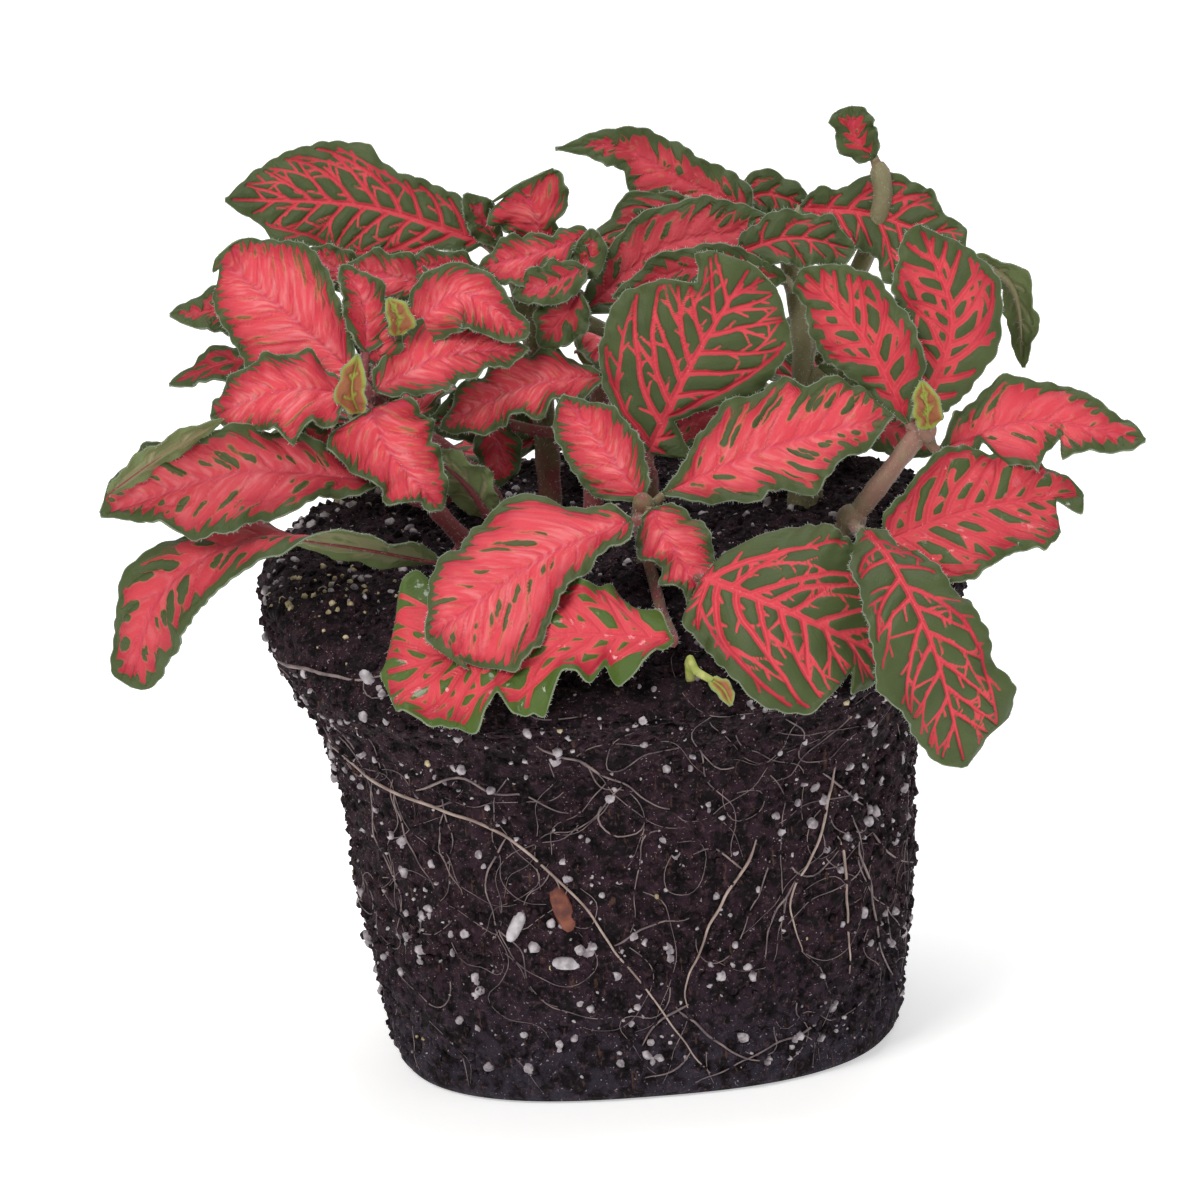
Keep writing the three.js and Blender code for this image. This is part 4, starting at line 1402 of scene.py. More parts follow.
        t, share = twice["t"], twice["share"]
        layout = np.stack([0.02 + 0.45 * (share + 1) / 2 + (1 - upper) * 0.51, 0.02 + 0.96 * t], 1)
        loops = np.empty(len(mesh.loops), np.int32)
        mesh.loops.foreach_get("vertex_index", loops)
        uv = layout[loops]
        steps = np.arange(rim)
        low, high = 0.01 + 0.98 * steps / rim, 0.01 + 0.98 * (steps + 1) / rim
        corners = ((0.487, high), (0.487, low), (0.513, low), (0.513, high))
        strip = np.stack([np.stack([np.full(rim, side), run], 1) for side, run in corners], 1)
        uv[-4 * rim:] = strip.reshape(-1, 2)
        mesh.uv_layers.new(name="OFBake").data.foreach_set("uv", uv.astype(np.float32).ravel())

    def rib(self) -> Line:
        """The midrib's ridge under the blade: points and radii.

        Returns:
            The points and the radii.
        """
        t = np.linspace(0.0, 0.8, 26)
        centre, _, normal = self.frame_at(t)
        radii = self.leaf.stalk * (1 - t / 0.86) ** 0.8 * 0.8 + 0.06
        return centre - normal * (radii * 0.75 - 0.05)[:, None], radii

    def stalk(self) -> Line:
        """The stalk and the ridge that goes on from it under the blade: points and radii.

        Returns:
            The points and the radii.
        """
        ridge, thin = self.rib()
        start = seen_at(self.leaf.foot)
        first = self.midrib.at(np.array([0.0]))[0]
        reach = float(np.linalg.norm(first - start))
        if reach < self.SHORTEST_STALK:
            return ridge, thin
        sag = np.array([0, 0, -self.STALK_SAG * reach])
        lead = SmoothPath([start, (start + ridge[0]) / 2 + sag, ridge[0], ridge[3]])
        ends = lead.length - float(np.linalg.norm(ridge[3] - ridge[0]))
        points = lead.at(np.linspace(0, max(ends, 0.1) / lead.length, max(5, int(reach))))[:-1]
        radii = np.linspace(self.leaf.stalk * 1.15, thin[0], len(points))
        return np.vstack([points, ridge]), np.concatenate([radii, thin])


# ---------------------------------------------------------------- shoots


@dataclass(frozen=True)
class Stem:
    """One stem: its radius and its path in the front view, from the tip to the peat."""

    radius: float
    path: tuple[Point, ...]


@dataclass(frozen=True)
class Knob:
    """A swollen joint of a stem."""

    at: Point
    radius: float
    stretch: float = 1.0


@dataclass(frozen=True)
class Hairs:
    """How densely hairs stand, to a square metre, how long and thick they are, in metres, their lean."""

    density: float
    length: float
    thickness: float
    lean: float

    def grow(self, growth: Growth, host: Object, name: str, seed: int,
             hair: Material) -> Object:
        """Grows the hairs on a host."""
        return growth.grow(host, name, Density=self.density, Length=self.length, Thickness=self.thickness,
                           Lean=self.lean, Seed=seed, Material=hair)


@dataclass
class Shoot:
    """A leafy stem with its leaves, hairy stems and buds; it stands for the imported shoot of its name."""

    FRINGE = Hairs(9.0e6, 0.00042, 0.000035, 0.6)
    FUZZ, FUZZ_SEED, FUZZ_SHARE = Hairs(6.0e6, 0.0006, 0.00003, 0.7), 5, 0.2

    name: str
    slot: Slot
    stems: tuple[Stem, ...]
    leaves: tuple[Leaf, ...]
    knobs: tuple[Knob, ...] = ()
    redness: float = 0.55
    paleness: float = 0.0
    depth_in_peat: float = 7.0

    def build(self, finish: Material, growths: "Growths", hair: Material) -> None:
        """Builds the shoot's leaves, its stems with stalks and knobs, and its hairs.

        Args:
            finish: the blades' material.
            growths: the shared growths.
            hair: the hairs' material.
        """
        node = "shoot_" + self.name
        blades = [Blade(leaf, 101 + 7 * i + 31 * len(self.name)) for i, leaf in enumerate(self.leaves)]
        hosts = []
        for i, blade in enumerate(blades):
            leaf = blade.build(f"leaf_{self.name}_{i + 1}", finish)
            hosts.append(leaf)
            settle(leaf, self.slot, [node])
        skin = StemFinish(f"stem_{self.name}", 0.55, redness=self.redness, paleness=self.paleness).build()
        stem = tubes(growths.tube, f"stem_{self.name}", self.lines(blades), skin, 9)
        store(stem.data, HAIR_SHARE, np.full(len(stem.data.polygons), self.FUZZ_SHARE), "FACE")
        settle(stem, self.slot, [node])
        hairs = [self.FRINGE.grow(growths.hair, host, f"fringe_{self.name}_{i + 1}", i, hair)
                 for i, host in enumerate(hosts)]
        hairs.append(self.FUZZ.grow(growths.hair, stem, f"fuzz_{self.name}", self.FUZZ_SEED, hair))
        settle(join(hairs, f"hairs_{self.name}"), self.slot, [node])

    def lines(self, blades: Sequence[Blade]) -> list[Line]:
        """The stems, stalks and knobs as points and radii.

        Args:
            blades: the shoot's blades.

        Returns:
            Each line's points and radii.
        """
        lines = []
        for stem in self.stems:
            points = [seen_at(place) for place in stem.path]
            foot = points[-1]
            points.append(np.array([foot[0], foot[1], RootBall.HEIGHT - self.depth_in_peat]))
            path = SmoothPath(points)
            share = np.linspace(0, 1, max(12, int(path.length / 1.2)))
            lumps = 1 + 0.05 * np.sin(share * 23) + 0.04 * np.sin(share * 61)
            radii = stem.radius * lumps * (0.9 + 0.1 * share)
            radii[0] *= 0.55
            lines.append((path.at(share), radii))
        for knob in self.knobs:
            centre = seen_at(knob.at)
            angles = np.linspace(0.12, math.pi - 0.12, 9)
            up = np.array([0, 0, knob.radius * knob.stretch])
            lines.append((centre - np.cos(angles)[:, None] * up, knob.radius * np.sin(angles)))
        return lines + [blade.stalk() for blade in blades]


def join(pieces: Sequence[Object], name: str) -> Object:
    """Several objects' meshes as one piece.

    Args:
        pieces: the objects, which are removed.
        name: the new piece's name.

    Returns:
        The piece.
    """
    vertices, faces, start = [], [], 0
    materials = list(pieces[0].data.materials)
    for piece in pieces:
        mesh = piece.data
        spots = np.empty(len(mesh.vertices) * 3, np.float32)
        mesh.vertices.foreach_get("co", spots)
        vertices.append(spots.reshape(-1, 3) / MM)
        faces += [[start + v for v in polygon.vertices] for polygon in mesh.polygons]
        start += len(mesh.vertices)
        bpy.data.objects.remove(piece)
    return new_object(name, np.concatenate(vertices), faces, materials)


@dataclass
class Growths:
    """The three growths that the plant's parts share."""

    hair: Growth = field(default_factory=hair_growth)
    lump: Growth = field(default_factory=lump_growth)
    tube: Growth = field(default_factory=tube_growth)


# ---------------------------------------------------------------- root ball


@dataclass(frozen=True)
class Lumps:
    """Lumps over the peat: where, how densely, to a square metre, how large, in metres, and how rough."""

    name: str
    share: str
    density: float
    smallest: float
    largest: float
    flatness: float
    detail: int
    roughness: float
    seed: int

    def grow(self, growth: Growth, host: Object, finish: Material) -> Object:
        """Grows the lumps on a host.

        Args:
            growth: the lump growth.
            host: the peat.
            finish: the lumps' material.

        Returns:
            The piece.
        """
        return growth.grow(host, self.name, Share=self.share, Density=self.density, Smallest=self.smallest,
                           Largest=self.largest, Flatness=self.flatness, Detail=self.detail,
                           Roughness=self.roughness, Seed=self.seed, Material=finish)


@dataclass(frozen=True)
class Chip:
    """A chip in the peat: its place in the front view, its half size across, along and deep, its lean."""

    name: str
    place: Point
    size: Point
    lean: float


class RootBall:
    """The peat that keeps its pot's form, with perlite, chips, grains and a net of roots."""

    HEIGHT = 72.4
    BASE, WAIST, STEP, COLLAR, RIM = 36.0, 40.1, 42.3, 48.6, 49.4
    WAIST_HEIGHT, STEP_HEIGHT, COLLAR_HEIGHT = 38.0, 50.7, 61.0
    SQUARENESS = 2.6
    SHOULDER_DROP, SHOULDER_START = 9.5, 18.0
    ROUGHNESS = 0.55
    ROUND, UP = 330, 170

    ROOTS: tuple[tuple[float, tuple[Point, ...]], ...] = (
        (0.23, ((-41, 43), (-35.6, 38), (-26.2, 33), (-17.5, 28.7), (-8.6, 19.5), (-3.4, 10.8), (1.2, 3.9),
               (5.7, -3.6), (8.3, -6.6))),
        (0.22, ((17, 25.6), (14.7, 21.5), (11.2, 16.8), (8, 10.8), (5.6, 6), (5.4, 2.6))),
        (0.21, ((28.7, 35.2), (26.9, 28.8), (24.8, 22.8), (21.9, 19.1), (20.9, 15.6), (22.1, 9.2))),
        (0.22, ((28.2, 25.1), (29, 22), (28.8, 13.4), (28.6, 5.6))),
    )
    THREADS: tuple[tuple[float, tuple[Point, ...]], ...] = (
        (0.3, ((-47.5, 55.6), (-42.2, 53.5), (-36.7, 51.9), (-33, 52))),
        (0.2, ((-30, 36), (-24, 37.5), (-19, 35), (-14, 34), (-9, 31))),
        (0.18, ((-13, 41), (-6, 38), (0, 34), (5, 30.5))),
        (0.2, ((4, 3), (8, -1), (12, -4.5), (17, -6))),
        (0.2, ((5.5, 3), (1, 1), (-1, -2))),
        (0.16, ((5.7, -3.6), (3, -6), (-1, -6.5))),
        (0.18, ((27, 34), (31, 30), (34, 27))),
        (0.18, ((33, 25), (36, 21), (39, 20))),
        (0.2, ((31, 24), (32.5, 16), (33, 9), (36, 1))),
        (0.16, ((22, 19), (18, 14), (17, 9))),
        (0.16, ((14.7, 21.5), (11, 25), (8, 24))),
        (0.16, ((-4, 12), (2, 15), (7, 15))),
        (0.16, ((-17.5, 28.7), (-21, 23), (-20, 17))),
        (0.14, ((-26, 33), (-27, 27), (-24, 21))),
        (0.14, ((-35.6, 38), (-36, 30), (-33, 22), (-34, 16))),
        (0.14, ((-33, 36), (-31, 28), (-28, 22))),
    )
    CHIP_TURNS, CHIP_RINGS = 14, 9
    STRAYS, STRAY_STEP = 260, 1.1
    STRAY_RADII, STRAY_ODDS = [0.07, 0.09, 0.12, 0.17], [0.4, 0.3, 0.2, 0.1]

    GRAIN_PATCH, GRAIN_SPREAD = (-39.5, 63.5), (5.0, 3.6)

    CRUMBS = Lumps("crumbs", "crumb_share", 0.33e6, 0.0003, 0.00105, 0.75, 1, 0.45, 2)
    PERLITE = Lumps("perlite", "perlite_share", 0.12e6, 0.00016, 0.00095, 0.8, 2, 0.5, 4)
    GRAINS = Lumps("yellow_grains", "grain_share", 0.30e6, 0.00025, 0.0008, 0.8, 1, 0.3, 6)

    BARK = Chip("bark_chip", (-10.6, 17.9), (1.4, 3.5, 0.9), -14)
    PALE_CHIPS = (Chip("pale_chip_1", (-17.4, 16.0), (0.95, 2.4, 0.8), 28),
                  Chip("pale_chip_2", (-10.8, 10.3), (2.0, 0.9, 0.7), 8),
                  Chip("pale_chip_3", (-35.0, 51.9), (0.8, 1.6, 0.6), -35))

    def __init__(self, seed: int = 8) -> None:
        """Prepares the random draw."""
        self.rng = np.random.default_rng(seed)
        self.tree: Optional[BVHTree] = None

    def profile(self) -> Array:
        """[radius, height] points from the middle of the base to the middle of the top.

        Returns:
            The points.
        """
        base, waist, step, height = self.BASE, self.WAIST, self.STEP, self.HEIGHT
        return np.array([
            [0, 0], [18, 0], [base - 1.2, 0], [base - 0.2, 1.2], [base + 1.5, 12], [base + 3.1, 24],
            [waist - 0.6, self.WAIST_HEIGHT - 6], [waist + 0.7, self.WAIST_HEIGHT + 4],
            [step, self.STEP_HEIGHT - 1], [step + 1.6, self.STEP_HEIGHT + 2.3],
            [step + 4.2, self.STEP_HEIGHT + 6.6], [self.COLLAR, self.COLLAR_HEIGHT],
            [self.RIM, height - 6.4], [self.RIM - 0.8, height - 2.6], [self.RIM - 3.6, height - 0.6],
            [self.RIM - 9, height], [28, height], [14, height], [0, height]])

    @staticmethod
    def crumble(p: Array) -> Array:
        """The peat's slow relief, from -1 to 1.

        Args:
            p: points on the peat.

        Returns:
            The relief at each point.
        """
        x, y, z = p.T
        lumps = np.sin(0.31 * x + 1.3) * np.sin(0.37 * y + 0.4) * np.cos(0.29 * z + 2.1)
        clods = np.sin(0.83 * x + 0.57 * z + 0.9) * np.sin(0.71 * y - 0.63 * z)
        grit = np.sin(1.9 * x + 2.3 * y) * np.sin(2.1 * z + 1.1 * x)
        return 0.5 * lumps + 0.3 * clods + 0.2 * grit

    def surface(self) -> Array:
        """The wall and top as rows of points from the base's middle to the top's, each row once round.

        Returns:
            The points.
        """
        profile = self.profile()
        path = np.concatenate([[0], np.cumsum(np.linalg.norm(np.diff(profile, axis=0), axis=1))])
        where = np.linspace(0, path[-1], self.UP + 1)[1:-1]
        radius, height = (np.interp(where, path, profile[:, k]) for k in range(2))
        turn = np.linspace(0, 2 * math.pi, self.ROUND, endpoint=False)
        x, y = np.outer(radius, np.cos(turn)), np.outer(radius, np.sin(turn))
        z = np.repeat(height[:, None], self.ROUND, 1)
        p = np.stack([x, y, z], -1).reshape(-1, 3)
        r = np.hypot(p[:, 0], p[:, 1])
        n = self.SQUARENESS
        square = ((np.abs(p[:, 0]) / r) ** n + (np.abs(p[:, 1]) / r) ** n) ** (-1 / n)
        rough = self.ROUGHNESS * self.crumble(p) + self.fine_relief(p)
        top = smoothstep(self.HEIGHT - 1.5, self.HEIGHT - 0.2, p[:, 2])
        low = smoothstep(0.3, 2.2, p[:, 2])
        out = square * (1 + (1 - top) * low * rough / r)
        p[:, 0] *= out
        p[:, 1] *= out
        p[:, 2] += top * rough
        forward = smoothstep(self.SHOULDER_START, self.RIM - 2, -p[:, 1])
        high = smoothstep(self.STEP_HEIGHT + 4, self.HEIGHT, p[:, 2])
        p[:, 2] -= self.SHOULDER_DROP * forward * high
        return p

    @staticmethod
    def fine_relief(p: Array) -> Array:
        """The peat's crumbs and pits, in mm.

        Args:
            p: points on the peat.

        Returns:
            The relief at each point.
        """
        relief = np.empty(len(p))
        for i, (x, y, z) in enumerate(p):
            spot = Vector((x, y, z))
            coarse = noise.fractal(spot * 0.22, 0.9, 2.1, 3)
            crumbs = noise.noise(spot * 0.75 + Vector((7, 3, 1)))
            grit = noise.noise(spot * 1.5 + Vector((2, 9, 4)))
            pits = max(0.0, -noise.noise(spot * 0.4))
            relief[i] = 0.75 * coarse + 0.55 * crumbs + 0.35 * grit - 0.7 * pits
        return np.clip(relief, -2.2, 1.6)

    def build(self, growths: Growths) -> None:
        """Builds the peat with what lies in it, and the roots over it.

        Args:
            growths: the shared growths.
        """
        peat = PeatFinish("peat", roughness=0.92, specular=0.25).build()
        ball = self.body(peat)
        self.tree = BVHTree.FromObject(ball, bpy.context.evaluated_depsgraph_get())
        perlite = PlainFinish("perlite", low=(0.20, 0.17, 0.19), high=(0.56, 0.51, 0.53), grain=900.0,
                              roughness=0.8, relief=0.0003).build()
        grain = PlainFinish("yellow_grain", low=(0.30, 0.22, 0.12), high=(0.68, 0.58, 0.36),
                            grain=900.0).build()
        root = PlainFinish("root", low=(0.24, 0.17, 0.15), high=(0.46, 0.36, 0.31), grain=300.0).build()
        thread = PlainFinish("root_thread", low=(0.10, 0.075, 0.085), high=(0.28, 0.21, 0.20),
                             grain=500.0).build()
        scattered = ((self.CRUMBS, peat), (self.PERLITE, perlite), (self.GRAINS, grain))
        pieces = [lumps.grow(growths.lump, ball, finish) for lumps, finish in scattered]
        settle(ball, Slot.PEAT, ["root_ball"])
        for piece in pieces:
            settle(piece, Slot.PEAT)
        self.lay_roots(growths, root, thread)
        self.lay_chips()

    def body(self, peat: Material) -> Object:
        """The peat's closed mesh, with how thickly crumbs, perlite and grains lie on it.

        Args:
            peat: its material.

        Returns:
            The piece.
        """
        wall = self.surface()
        height = float(wall[-self.ROUND:, 2].mean())
        vertices = np.vstack([wall, [[0, 0, 0], [0, 0, height]]])
        ball = new_object("peat", vertices, globe_faces(self.UP - 1, self.ROUND), [peat])
        crumb = smoothstep(2.5, 4.0, vertices[:, 2])
        dots = np.array([noise.noise(Vector(p) * 0.11) for p in vertices])
        perlite = crumb * np.clip(0.55 + 1.5 * dots, 0.05, 1.6)
        away = (flat(vertices) - self.GRAIN_PATCH) / self.GRAIN_SPREAD
        patch = np.exp(-(away[:, 0] ** 2 + away[:, 1] ** 2)) * (vertices[:, 1] < 0)
        store(ball.data, "crumb_share", crumb)
        store(ball.data, "perlite_share", perlite)
        store(ball.data, "grain_share", patch + 0.004 * crumb)
        return ball

    def touch(self, place: Point, proud: float) -> Optional[Array]:
        """The point over the peat that the front view shows at a place, proud of it by some mm.

        Args:
            place: across and up in the front view.
            proud: how far off the peat, in mm.

        Returns:
            The point, or none where the view misses the peat.
        """
        start = Vector(seen_at((place[0], place[1], -150))) * MM
        along = Vector((0, COS_TILT, -SIN_TILT))
        hit, normal, _, _ = self.tree.ray_cast(start, along)
        return None if hit is None else np.array(hit + normal * proud * MM) / MM

    def traced(self, places: Sequence[Point], radius: float, wander: float) -> Line:
        """A root over the front of the peat.

        Args:
            places: where it runs in the front view.
            radius: its radius at the start, in mm.
            wander: how far it strays, in mm.

        Returns:
            Its points and radii.
        """
        path = SmoothPath([np.array(place, float) for place in places])
        share = np.linspace(0, 1, max(8, int(path.length / 0.8)))
        course = path.at(share)
        phases = self.rng.uniform(0, 6.28, 4)
        stray = np.stack([np.sin(share * 21 + phases[0]) + 0.6 * np.sin(share * 43 + phases[1]),
                          np.sin(share * 17 + phases[2]) + 0.6 * np.sin(share * 37 + phases[3])], 1)
        course = course + stray * wander
        found = [self.touch(tuple(place), radius * 0.6 + 0.22) for place in course]
        points = np.array([p for p in found if p is not None])
        share = np.linspace(0, 1, len(points))
        radii = radius * (0.45 + 0.55 * smoothstep(0, 0.12, share)) * (1 - 0.6 * share**2)
        return self.eased(points), radii

    @staticmethod
    def eased(points: Array) -> Array:
        """Points with small steps evened out.

        Args:
            points: the points of a line.

        Returns:
            The points.
        """
        for _ in range(2):
            points[1:-1] = (points[:-2] + 2 * points[1:-1] + points[2:]) / 4
        return points

    def strayed(self, turn: float, height: float, length: float,
                radius: float) -> Line:
        """A thread that wanders down over the wall from a start at a turn and a height.

        Args:
            turn: its start round the wall.
            height: its start above the base.
            length: its length.
            radius: its radius at the start.

        Returns:
            Its points and radii, or none where it is too short.
        """
        points = []
        heading = self.rng.uniform(-2.4, -0.7)
        for _ in range(max(6, int(length / self.STRAY_STEP))):
            heading += self.rng.normal(0, 0.42)
            turn += self.STRAY_STEP * math.cos(heading) / 45
            height += self.STRAY_STEP * math.sin(heading)
            if not 1.5 < height < self.HEIGHT - 2:
                break
            out = Vector((math.cos(turn), math.sin(turn), 0))
            start = (out * 90 + Vector((0, 0, height))) * MM
            hit, normal, _, _ = self.tree.ray_cast(start, -out)
            if hit is not None:
                points.append(np.array(hit + normal * (radius * 0.6 + 0.16) * MM) / MM)
        if len(points) < 5:
            return np.zeros((0, 3)), np.zeros(0)
        return self.eased(np.array(points)), np.linspace(radius, radius * 0.45, len(points))

    def lay_roots(self, growths: Growths, root: Material, thread: Material) -> None:
        """Lays the pale roots of the front and the net of threads all round.

        Args:
            growths: the shared growths.
            root: the roots' material.
            thread: the threads' material.
        """
        for i, (radius, places) in enumerate(self.ROOTS):
            line = self.traced(places, radius, 0.12)
            piece = tubes(growths.tube, f"root_{i + 1}", [line], root, 8)
            settle(piece, Slot.ROOT, [f"surface_root_{i + 1}"])
        lines = [self.traced(places, radius, 0.2) for radius, places in self.THREADS]
        for _ in range(self.STRAYS):
            turn = self.rng.uniform(0, 2 * math.pi)
            height = self.rng.uniform(6, self.HEIGHT - 8)
            radius = float(self.rng.choice(self.STRAY_RADII, p=self.STRAY_ODDS))
            lines.append(self.strayed(turn, height, self.rng.uniform(8, 30), radius))
        kept = [line for line in lines if len(line[0]) > 4]
        settle(tubes(growths.tube, "root_threads", kept, thread, 5), Slot.ROOT)

    def lay_chips(self) -> None:
        """Presses a red bark chip and some pale chips into the front."""
        bark = PlainFinish("bark_chip", low=(0.10, 0.028, 0.018), high=(0.24, 0.07, 0.04), grain=700.0,
                           relief=0.0004).build()
        pale = PlainFinish("pale_chip", low=(0.30, 0.27, 0.29), high=(0.62, 0.58, 0.60), grain=700.0,
                           relief=0.0003).build()
        for chip, finish in ((self.BARK, bark), *((chip, pale) for chip in self.PALE_CHIPS)):
            settle(self.chip(chip, finish), Slot.PEAT)

    def chip(self, chip: Chip, finish: Material) -> Object:
        """A chip as a worn flat pebble.

        Args:
            chip: the chip's place and size.
            finish: its material.

        Returns:
            The piece.
        """
        centre, size, lean = self.touch(chip.place, 0.1), chip.size, math.radians(chip.lean)
        spin, rise = np.meshgrid(np.arange(self.CHIP_TURNS), np.arange(1, self.CHIP_RINGS))
        a, b = math.pi * rise / self.CHIP_RINGS, 2 * math.pi * spin / self.CHIP_TURNS
        p = np.stack([np.sin(a) * np.cos(b), np.sin(a) * np.sin(b), -np.cos(a)], -1).reshape(-1, 3)
        p = np.vstack([p, [[0, 0, -1], [0, 0, 1]]])
        p = np.sign(p) * np.abs(p) ** 0.8
        p *= 1 + 0.12 * np.array([[noise.noise(Vector(v) * 1.7 + Vector(centre))] for v in p])
        across = np.array([math.cos(lean), 0, -math.sin(lean)])
        along = np.array([math.sin(lean), 0, math.cos(lean)])
        p = p @ np.array([across * size[0], along * size[1], [0, size[2], 0]])
        faces = [face[::-1] for face in globe_faces(self.CHIP_RINGS - 1, self.CHIP_TURNS)]
        return new_object(chip.name, p + centre, faces, [finish])


@dataclass(frozen=True)
class Seedling:
    """A sprout by the front rim: a bent pale stem and a seed leaf."""

    stem: tuple[Point, ...] = ((9.6, 51.2, -45.4), (10.4, 49.6, -47), (12.6, 48, -48.6))
    radius: float = 0.75
    depth: float = 5.0
    leaf: Leaf = Leaf((12.0, 48.3, -48.2), ((12.2, 48.2, -48.4), (13.8, 46.8, -49.8), (14.8, 44.4, -50.6)),
                      2.6, ((40, 10),), pink=0.0, lime=1.2, nerves=3, stalk=0.5, fold=25)
    seed: int = 5
    points: int = 16

    def build(self, finish: Material, growths: Growths) -> None:
        """Builds the sprout's stem and its leaf.

        Args:
            finish: the leaf's material.
            growths: the shared growths.
        """
        skin = PlainFinish("sprout", low=(0.28, 0.33, 0.06), high=(0.55, 0.55, 0.18), grain=500.0,
                           roughness=0.5).build()
        top = [seen_at(place) for place in self.stem]
        foot = top[0] + np.array([0, 0.4 * self.depth, -self.depth])
        path = SmoothPath([foot, *top])
        share = np.linspace(0, 1, self.points)
        blade = Blade(self.leaf, self.seed)
        lines = [(path.at(share), np.linspace(self.radius, self.radius * 0.7, self.points)), blade.stalk()]
        settle(tubes(growths.tube, "sprout_stem", lines, skin, 9), Slot.SPROUT, ["seedling"])
        settle(blade.build("sprout_leaf", finish), Slot.SPROUT, ["seedling"])


# ---------------------------------------------------------------- the plant

P, G = Slot.PINK_LEAF, Slot.GREEN_LEAF

LEFT_FRONT = Shoot(
    "left_front", P,
    stems=(Stem(1.5, ((-33.2, 92, -11), (-27, 86.5, -9), (-20.5, 81.5, -6.5), (-15.8, 75, -4),
                (-14, 66, -3))),
           Stem(1.4, ((-24.5, 75.5, -15), (-21, 71, -12), (-17.5, 67, -7), (-15, 63.5, -4)))),
    redness=0.80,
    leaves=(
        Leaf((-33, 92, -11), ((-33.8, 94.5, -10.5), (-43.5, 104.5), (-52, 112.5)), 18.4, ((32, -15),),
             widest=0.52, point=0.9, fold=8, ruffle=0.8, pink=0.92,
             margin=((-53, 113), (-49, 115.5), (-43, 114.5), (-38, 112.5), (-36.5, 109), (-34.5, 104),
                     (-33.5, 99), (-53.5, 110.5), (-53, 107), (-52, 103), (-50, 99.5), (-44, 97))),
        Leaf((-33, 91.5, -11), ((-35, 91.8, -13), (-44, 92.8, -15), (-54.3, 90, -14)), 12.8,
             ((46, -10),), point=1.1, ruffle=0.9, waves=4, pink=0.95,
             margin=((-51, 95.5), (-46, 98), (-40, 98), (-36.5, 95), (-54, 89.5), (-48, 88), (-43, 85.5),
                     (-37, 87.5))),
        Leaf((-33, 91, -11), ((-31.8, 89.5, -14), (-29.5, 83), (-23, 74.6)), 15.4, ((32, 12),),
             widest=0.36, point=1.2, ruffle=1, waves=4, pink=0.97,
             margin=((-38.5, 84.5), (-37.5, 87), (-35, 81), (-31, 78), (-26, 76), (-26.5, 91),
                     (-23.5, 87.5), (-24, 84), (-22.5, 80))),
        Leaf((-33, 92, -11), ((-31.2, 92, -12), (-21, 96), (-9.2, 96.2)), 10.8, ((48, 12),),
             widest=0.42, ruffle=0.7, pink=0.93,
             margin=((-29.5, 97), (-25, 101), (-20, 101.5), (-15, 99), (-27, 91.5), (-21, 91), (-19, 93),
                     (-15, 94))),
        Leaf((-31, 90, -10), ((-27.5, 98.5, -5), (-18, 104.6, -2.5), (-9.2, 98, -5)), 11, ((42, 8),),
             widest=0.5, point=1.1, pink=0.92,
             margin=((-26, 104), (-23, 108), (-18, 109), (-13, 106.5), (-11, 102))),
        Leaf((-33, 93, -11), ((-32, 97.5, -8), (-32, 104.5), (-34.6, 110)), 7.4, ((30, 30),), fold=20,
             pink=0.9),
        Leaf((-32, 93, -10), ((-30.6, 95.6, -8), (-30.2, 99), (-29.6, 102.6)), 7, ((30, 0),), pink=0.9),
        Leaf((-24.5, 75.5, -15), ((-31, 79.2, -17), (-50, 81.8, -22), (-70.6, 77.6, -21)), 16.5,
             ((40, -4),), widest=0.62, point=1.4, ruffle=1.1, waves=4, scallop=0.12, pink=0.82, painted_shade=0.42,
             nerves=8,
             margin=((-68, 77), (-62, 75.5), (-58, 73.5), (-52, 73.5), (-48, 75.5), (-40, 78), (-69, 82.5),
                     (-60, 86.5), (-52, 88.5), (-44, 87.5), (-38, 84.5))),
        Leaf((-20.5, 70.6, -11.5), ((-24, 67.4, -17.5), (-38, 71, -23), (-50, 72.6, -25),
             (-62.5, 66.4, -25), (-68.6, 53.6, -23)), 13, ((35, 165), (50, 175), (65, -40), (25, -30),
             (10, -25)), widest=0.62, point=0.9, fold=6, ruffle=0.6, waves=4, pink=0.72, painted_shade=0.30,
             nerves=9, stalk=0.35),
        Leaf((-69.3, 80.5, -22.5), ((-69.3, 80.5, -22.5), (-61.5, 85.2, -21.5), (-52.5, 89.6, -19.5)),
             4.6, ((35, 170),), pink=0.5, painted_shade=0.30, nerves=3, stalk=0.15),
        Leaf((-30, 88, -9), ((-36.5, 87.5, -8), (-40, 85.8, -8), (-46.5, 84, -8)), 6.4, ((45, 0),),
             painted_shade=0.3),
        Leaf((-33, 92, -9), ((-40, 101, 0), (-50, 104.6, 2), (-59.2, 105, 3)), 8, ((45, -20),),
             pink=0.6, painted_shade=0.25),
        Leaf((-32, 90, -9), ((-40, 95.5, -3), (-50, 97.6, -1), (-60, 95.2, 0)), 7, ((60, -20),),
             pink=0.5, painted_shade=0.3),
        Leaf((-15.2, 70, -4), ((-16.5, 73, -7), (-19.5, 78, -9), (-25, 83.5, -10)), 7, ((25, 175),),
             pink=0.3, nerves=4),
        Leaf((-33.6, 91, -14), ((-33.6, 89.2, -15.5), (-34.2, 92.4, -17.6), (-33, 97.2, -17)), 4.2,
             ((8, -10),), fold=34, pink=0.4, lime=1.2, stalk=0.4, nerves=4, scallop=0.1),
        Leaf((-28, 99.5, -6), ((-27.6, 99.6, -7.6), (-27.2, 102, -8.4), (-28.4, 104.8, -8)), 4.0,
             ((14, 20),), fold=30, pink=0.6, lime=1.2, stalk=0.4, nerves=4),
    ),
    knobs=(Knob((-33.2, 92, -12), 1.7, 1.3), Knob((-28, 99.6, -5.4), 1.3, 1.2)),
)

